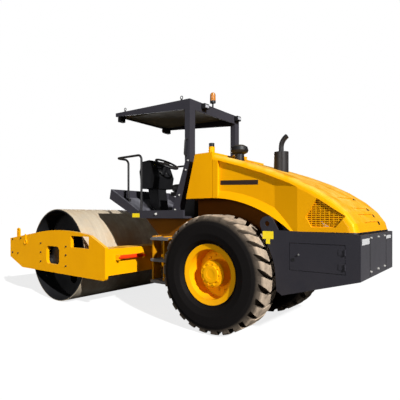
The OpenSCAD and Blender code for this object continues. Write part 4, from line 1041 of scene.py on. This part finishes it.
# %% Painted shade at the hood's foot and the louvre ends
SHADE_BAND_HEIGHT, SHADE_BAND_PROUD, LOUVRE_END = 0.015, 0.003, 0.320
foot_shade = skin_copy("hood")
bpy.ops.mesh.bisect(plane_co=(0, 0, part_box("hood")[0][2] + SHADE_BAND_HEIGHT), plane_no=UP, clear_outer=True)
close_edit()
louvre_end_shade = skin_copy("hood")
pick_faces(lambda middle, normal: abs(normal.y) > 0.9 and abs(abs(middle.y) - LOUVRE_END) < 0.002)
bpy.ops.mesh.select_all(action="INVERT")
bpy.ops.mesh.delete(type="FACE")
close_edit()
# Both pieces are black as painted shade.
for piece, name in ((foot_shade, "hood_foot_shade"), (louvre_end_shade, "louvre_end_shade")):
    add_modifier(piece, "SOLIDIFY", thickness=SHADE_BAND_PROUD, offset=1.0)
    settle(piece, name, "hood", plastic)

# %% [markdown]
# The roof rises a little to the front. Under its tray lies a padded liner, which shows olive in the picture.
# The liner is a flat box with an inset field, turned about Y to lie along the roof's slope.

# %% Roof liner
ROOF_REAR_TOP, ROOF_SKIN, LINER_GAP, LINER_THICK = 3.000, 0.022, 0.001, 0.015
LINER_END, LINER_SIDE = 0.045, 0.130
roof_low, roof_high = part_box("roof")
roof_slope = (roof_high[2] - ROOF_REAR_TOP) / (roof_high[0] - roof_low[0])


def roof_top(x):
    """The height of the roof's top at a place along the machine."""
    return ROOF_REAR_TOP + roof_slope * (x - roof_low[0])


liner_x = (roof_low[0] + LINER_END, roof_high[0] - LINER_END)
liner_z = roof_top(sum(liner_x) / 2) - ROOF_SKIN - LINER_GAP
liner_plate = bevelled_box((liner_x[0], roof_low[1] + LINER_SIDE, liner_z - LINER_THICK),
                           (liner_x[1], roof_high[1] - LINER_SIDE, liner_z), 0.006)
open_edit(liner_plate)
pick_facing(DOWN)
bpy.ops.mesh.inset(thickness=0.05)
bpy.ops.mesh.inset(thickness=0.012)
bpy.ops.transform.translate(value=(0, 0, 0.006))
close_edit()
liner_plate.rotation_euler[1] = -math.atan(roof_slope)
settle(liner_plate, "roof_liner", "rear_frame", liner)

# %% [markdown]
# A crane lifts the canopy off by four eye bolts near the roof's corners. An eye is a ring on a collar: a
# torus set upright on a small cylinder whose top is drawn in.

# %% Roof eyes
EYE_X, EYE_INSET, EYE_RING, EYE_WIRE = (0.388, -0.745), 0.024, 0.020, 0.0055
COLLAR_RADIUS, COLLAR_TALL = 0.014, 0.020


def eye_bolt():
    """An eye bolt that stands on Z = 0."""
    collar = round_blank(16, COLLAR_RADIUS, COLLAR_TALL, (0, 0, COLLAR_TALL / 2))
    pick_facing(UP)
    bpy.ops.mesh.inset(thickness=0.004)
    bpy.ops.transform.translate(value=(0, 0, 0.006))
    close_edit()
    clear_selection()
    bpy.ops.mesh.primitive_torus_add(major_radius=EYE_RING, minor_radius=EYE_WIRE, major_segments=24,
                                     minor_segments=8, location=(0, 0, 0.022 + EYE_RING), rotation=ACROSS)
    loop = bpy.context.object
    for piece in (collar, loop):
        make_active(piece)
        place_in_mesh()
    return join([collar, loop])


eye = eye_bolt()
eye_places = [((x, side * (roof_high[1] - EYE_INSET), roof_top(x) - 0.001), UP)
              for x in EYE_X for name, side, way in SIDES]
settle(copies(eye, eye_places), "roof_eyes", "rear_frame", satin_black)
bpy.data.objects.remove(eye)

# %% [markdown]
# Each work lamp is a black housing with a lens behind a bezel. The bezel is a box whose face is inset and
# sunk, and the lens is one whose face is inset and pushed out. The front lamps look ahead, and the two at the
# back look behind.

# %% Lamp lenses
LAMP_HALF_WIDTH, LAMP_HALF_HEIGHT, LAMP_DEPTH = 0.0525, 0.035, 0.060
BEZEL_HALF, LENS_HALF = Vector((0.006, 0.050, 0.033)), Vector((0.003, 0.042, 0.025))


def lamp_lens(middle, way):
    """A bezel and a lens on a housing's face, which looks along way (1 ahead, -1 behind)."""
    bezel = bevelled_box(middle - BEZEL_HALF, middle + BEZEL_HALF, 0.003)
    open_edit(bezel)
    pick_facing((way, 0, 0))
    bpy.ops.mesh.inset(thickness=0.007)
    extrude(x=-way * 0.004)
    close_edit()
    glass = bevelled_box(middle - LENS_HALF, middle + LENS_HALF, 0.0015)
    open_edit(glass)
    pick_facing((way, 0, 0))
    bpy.ops.mesh.inset(thickness=0.006)
    bpy.ops.transform.translate(value=(way * 0.004, 0, 0))
    close_edit()
    return bezel, glass


lamp_pairs = []
for node, depth, way in (("front_lamps", LAMP_DEPTH, 1), ("rear_lamps", 0.0, -1)):
    low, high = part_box(node)
    for y in (low[1] + LAMP_HALF_WIDTH, high[1] - LAMP_HALF_WIDTH):
        lamp_pairs.append(lamp_lens(Vector((low[0] + depth, y, low[2] + LAMP_HALF_HEIGHT)), way))
bezels, glasses = zip(*lamp_pairs)
settle(join(bezels), "lamp_bezels", "rear_frame", plastic)
settle(join(glasses), "lamp_lenses", "rear_frame", lens)

# %% [markdown]
# A disc horn hangs beside the right front lamp. It is a short cylinder whose front is inset and pushed back
# in two steps, with a strap up to the roof's front edge.

# %% Horn
HORN_RADIUS, HORN_THICK = 0.040, 0.034
STRAP_HALF_THICK, STRAP_HALF_WIDE = 0.004, 0.012
lamp_low, lamp_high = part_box("front_lamps")
horn_x, horn_y, horn_z = lamp_low[0] + 0.020, lamp_low[1] + 0.160, lamp_low[2] + LAMP_HALF_HEIGHT
horn = round_blank(32, HORN_RADIUS, HORN_THICK, (horn_x, horn_y, horn_z), ALONG)
pick_facing(FRONT)
bpy.ops.mesh.inset(thickness=0.006)
extrude(x=-0.006)
bpy.ops.mesh.inset(thickness=0.014)
extrude(x=0.008)
pick_facing(REAR)
bpy.ops.mesh.inset(thickness=0.016)
extrude(x=-0.014)
close_edit()
strap = bevelled_box((horn_x - STRAP_HALF_THICK, horn_y - STRAP_HALF_WIDE, horn_z + 0.030),
                     (horn_x + STRAP_HALF_THICK, horn_y + STRAP_HALF_WIDE, lamp_high[2]), 0.001)
settle(join([horn, strap]), "horn", "rear_frame", plastic)

# %% [markdown]
# The ladder's treads are gray plates with rows of grip buttons, set on its steps. Both long edges are folded
# down over the step, so it looks gray from the side as well. One tread is modelled for each ladder and copied
# to its three places.

# %% Ladder treads
STEP_TOPS = (1.12, 0.82, 0.52)
TREAD_THICK, TREAD_FOLD, FOLD_THICK, BUTTON_PITCH = 0.006, 0.034, 0.005, 0.032


def grip_button():
    """A low cone with a dished top, standing on the tread."""
    clear_selection()
    bpy.ops.mesh.primitive_cone_add(vertices=8, radius1=0.009, radius2=0.006, depth=0.004,
                                    location=(0, 0, TREAD_THICK + 0.002))
    button = bpy.context.object
    open_edit(button)
    pick_facing(UP)
    bpy.ops.mesh.inset(thickness=0.0025)
    bpy.ops.transform.translate(value=(0, 0, -0.002))
    close_edit()
    place_in_mesh()
    return button


def tread_plate(width, depth):
    """A tread plate with grip buttons, standing on Z = 0, its length along X and its edges folded down."""
    plate = bevelled_box((-width / 2, -depth / 2, 0.0), (width / 2, depth / 2, TREAD_THICK), 0.002, 1)
    edges = ((depth / 2, depth / 2 + FOLD_THICK), (-depth / 2 - FOLD_THICK, -depth / 2))
    folds = [bevelled_box((-width / 2, y0, -TREAD_FOLD), (width / 2, y1, TREAD_THICK), 0.002, 1)
             for y0, y1 in edges]
    button = grip_button()
    columns, rows = int(width / BUTTON_PITCH), int(depth / BUTTON_PITCH)
    spots = [(((i - (columns - 1) / 2) * BUTTON_PITCH, (j - (rows - 1) / 2) * BUTTON_PITCH, 0.0), UP)
             for i in range(columns) for j in range(rows)]
    grid = copies(button, spots)
    bpy.data.objects.remove(button)
    return join([plate, *folds, grid])


for name, side, way in SIDES:
    low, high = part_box("ladder_" + name)
    tread = tread_plate(high[0] - low[0] - 0.012, high[1] - low[1] + 0.002)
    x, y, z = middle_of(low, high)
    settle(copies(tread, [((x, y, top), UP) for top in STEP_TOPS]), "ladder_treads_" + name, "rear_frame",
           tread_gray)
    bpy.data.objects.remove(tread)

# %% [markdown]
# A ribbed rubber mat covers the platform's flat floor. It is a thin sheet whose top is cut into strips, and
# every other strip is pushed up.

# %% Floor mat
MAT_X, MAT_HALF_WIDE, MAT_TOP, MAT_RIBS, RIB_TALL = (-0.20, 0.015), 0.50, 1.426, 8, 0.004


def ribbed_mat():
    """A mat with ribs across the machine, under a level top."""
    clear_selection()
    bpy.ops.mesh.primitive_grid_add(x_subdivisions=2 * MAT_RIBS + 1, y_subdivisions=1, size=1,
                                    location=(sum(MAT_X) / 2, 0, MAT_TOP))
    mat = bpy.context.object
    mat.scale = (MAT_X[1] - MAT_X[0], 2 * MAT_HALF_WIDE, 1.0)
    place_in_mesh()
    columns = sorted({round(face.center.x, 5) for face in mat.data.polygons})
    raised = set(columns[1::2])
    open_edit(mat)
    pick_faces(lambda middle, normal: round(middle.x, 5) in raised)
    extrude(z=RIB_TALL)
    close_edit()
    add_modifier(mat, "SOLIDIFY", thickness=0.004, offset=-1.0)
    return mat


settle(ribbed_mat(), "floor_mat", "rear_frame", mat_rubber)

# %% [markdown]
# A grab handle of bent tube is bolted to each canopy post, where a driver pulls up from the ladder. The
# tube's path is a line of edges with bevelled corners, which becomes a curve with a round section. Four
# bolts hold each post.

# %% Grab handles and post bolts
POST_BOLTS = [(-0.875, 2.170), (-0.838, 2.045), (-0.725, 1.709), (-0.650, 1.510)]
HANDLE_TOP, HANDLE_FOOT, HANDLE_REACH = (-0.868, 2.46), (-0.850, 2.24), 0.048
HANDLE_RADIUS, HANDLE_BEND = 0.011, 0.03
post_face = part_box("post_left")[1][1]


def bent_tube(points, radius, corner):
    """A round tube along points, with rounded corners: a polyline is bevelled, then skinned as a curve."""
    mesh = bpy.data.meshes.new("tube_path")
    mesh.from_pydata(points, [(i, i + 1) for i in range(len(points) - 1)], [])
    tube = bpy.data.objects.new("tube_path", mesh)
    scene.collection.objects.link(tube)
    open_edit(tube)
    bpy.ops.mesh.select_mode(type="VERT")
    bpy.ops.mesh.select_all(action="DESELECT")
    work = bmesh.from_edit_mesh(mesh)
    work.verts.ensure_lookup_table()
    for vertex in work.verts[1:-1]:
        vertex.select_set(True)
    bmesh.update_edit_mesh(mesh)
    bpy.ops.mesh.bevel(offset=corner, segments=6, affect="VERTICES")
    close_edit()
    bpy.ops.object.convert(target="CURVE")
    tube = bpy.context.object
    tube.data.bevel_depth = radius
    tube.data.bevel_resolution = 3
    tube.data.use_fill_caps = True
    bpy.ops.object.convert(target="MESH")
    return bpy.context.object


for name, side, way in SIDES:
    inner, outer = side * (post_face - 0.001), side * (post_face + HANDLE_REACH)
    (top_x, top_z), (foot_x, foot_z) = HANDLE_TOP, HANDLE_FOOT
    handle = bent_tube([(top_x, inner, top_z), (top_x, outer, top_z), (foot_x, outer, foot_z),
                        (foot_x, inner, foot_z)], HANDLE_RADIUS, HANDLE_BEND)
    settle(handle, "grab_handle_" + name, "rear_frame", satin_black, 60)
    bolts = [((x, side * post_face, z), way) for x, z in POST_BOLTS]
    settle(copies(bolt_20, bolts), "post_bolts_" + name, "rear_frame", plated)

# %% [markdown]
# Piping runs along the edge of both seat pads, where the covers are sewn. It is the same tube on two open
# paths, one round the cushion's front and one over the back.

# %% Seat piping
EDGE, BACK_LEAN, PIPING_RADIUS, PIPING_BEND = 0.018, 0.070, 0.006, 0.030
seat_low, seat_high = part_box("seat_cushion")
back_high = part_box("seat_back")[1]
edge_y = seat_high[1] - EDGE


def open_loop(end, corner):
    """A path from one side to the other: each end and corner is an x and a z."""
    return [(end[0], edge_y, end[1]), (corner[0], edge_y, corner[1]), (corner[0], -edge_y, corner[1]),
            (end[0], -edge_y, end[1])]


edge_z, rest_x = seat_high[2] - EDGE, back_high[0] - EDGE
cushion_path = open_loop((seat_low[0] + 0.02, edge_z), (seat_high[0] - EDGE, edge_z))
rest_path = open_loop((rest_x - BACK_LEAN * 0.3, 1.91), (rest_x - BACK_LEAN, back_high[2] - EDGE))
piping = [bent_tube(path, PIPING_RADIUS, PIPING_BEND) for path in (cushion_path, rest_path)]
settle(join(piping), "seat_piping", "rear_frame", vinyl, 60)

# %% [markdown]
# The console's face carries two dials and a row of rocker switches. A dial is a ring with a sunk face and a
# needle, and its face stays blank. All are placed along the face's slope, from its foot to its top.

# %% Console dials and switches
FACE_FOOT, FACE_TOP = Vector((0.1157, 0.0, 2.0528)), Vector((0.2327, 0.0, 2.3270))
DIAL_RADIUS, DIAL_TALL, DIAL_Y, DIAL_CLIMB = 0.044, 0.014, (-0.145, 0.145), 0.205
SWITCHES, SWITCH_PITCH, SWITCH_CLIMB = 6, 0.034, 0.085
face_up = (FACE_TOP - FACE_FOOT).normalized()
face_out = (-face_up.z, 0.0, face_up.x)


def face_place(y, climb):
    """A place on the console's face: y across, and a distance up from its foot."""
    point = FACE_FOOT + face_up * climb
    return (point.x, y, point.z), face_out


dial = round_blank(32, DIAL_RADIUS, DIAL_TALL, (0, 0, DIAL_TALL / 2))
pick_facing(UP)
bpy.ops.mesh.inset(thickness=0.006)
extrude(z=-0.006)
close_edit()
place_in_mesh()
needle = bevelled_box((-0.0015, -0.006, 0.0085), (0.0015, 0.028, 0.0100), 0.0005, 1)
place_in_mesh()
rocker = bevelled_box((-0.011, -0.019, 0.0), (0.011, 0.019, 0.010), 0.003)
place_in_mesh()
dial_places = [face_place(y, DIAL_CLIMB) for y in DIAL_Y]
switch_places = [face_place(SWITCH_PITCH * (i - (SWITCHES - 1) / 2), SWITCH_CLIMB) for i in range(SWITCHES)]
settle(copies(dial, dial_places), "console_dials", "rear_frame", plastic)
settle(copies(needle, dial_places), "dial_needles", "rear_frame", tag_yellow)
settle(copies(rocker, switch_places), "console_switches", "rear_frame", mat_rubber)

# %% [markdown]
# Two bolts pin the red lock bar to its lugs on the rear beam. They are the last copies, so the models that
# were copied are then taken out of the scene.

# %% Lock bar bolts
LOCK_LUG = 0.011
bar_low, bar_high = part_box("lock_bar")
beam_x, bar_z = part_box("rear_beam")[0][0], (bar_low[2] + bar_high[2]) / 2
pin_places = [((beam_x, y, bar_z), REAR) for y in (bar_low[1] - LOCK_LUG, bar_high[1] + LOCK_LUG)]
settle(copies(bolt_30, pin_places), "lock_bolts", "drum_frame", lock_red)
for model in (dial, needle, rocker, bolt_30, bolt_24, bolt_20):
    bpy.data.objects.remove(model)

# %% [markdown]
# The dressed machine has to keep the size of its solids.

# %% Done
print("dressing done")
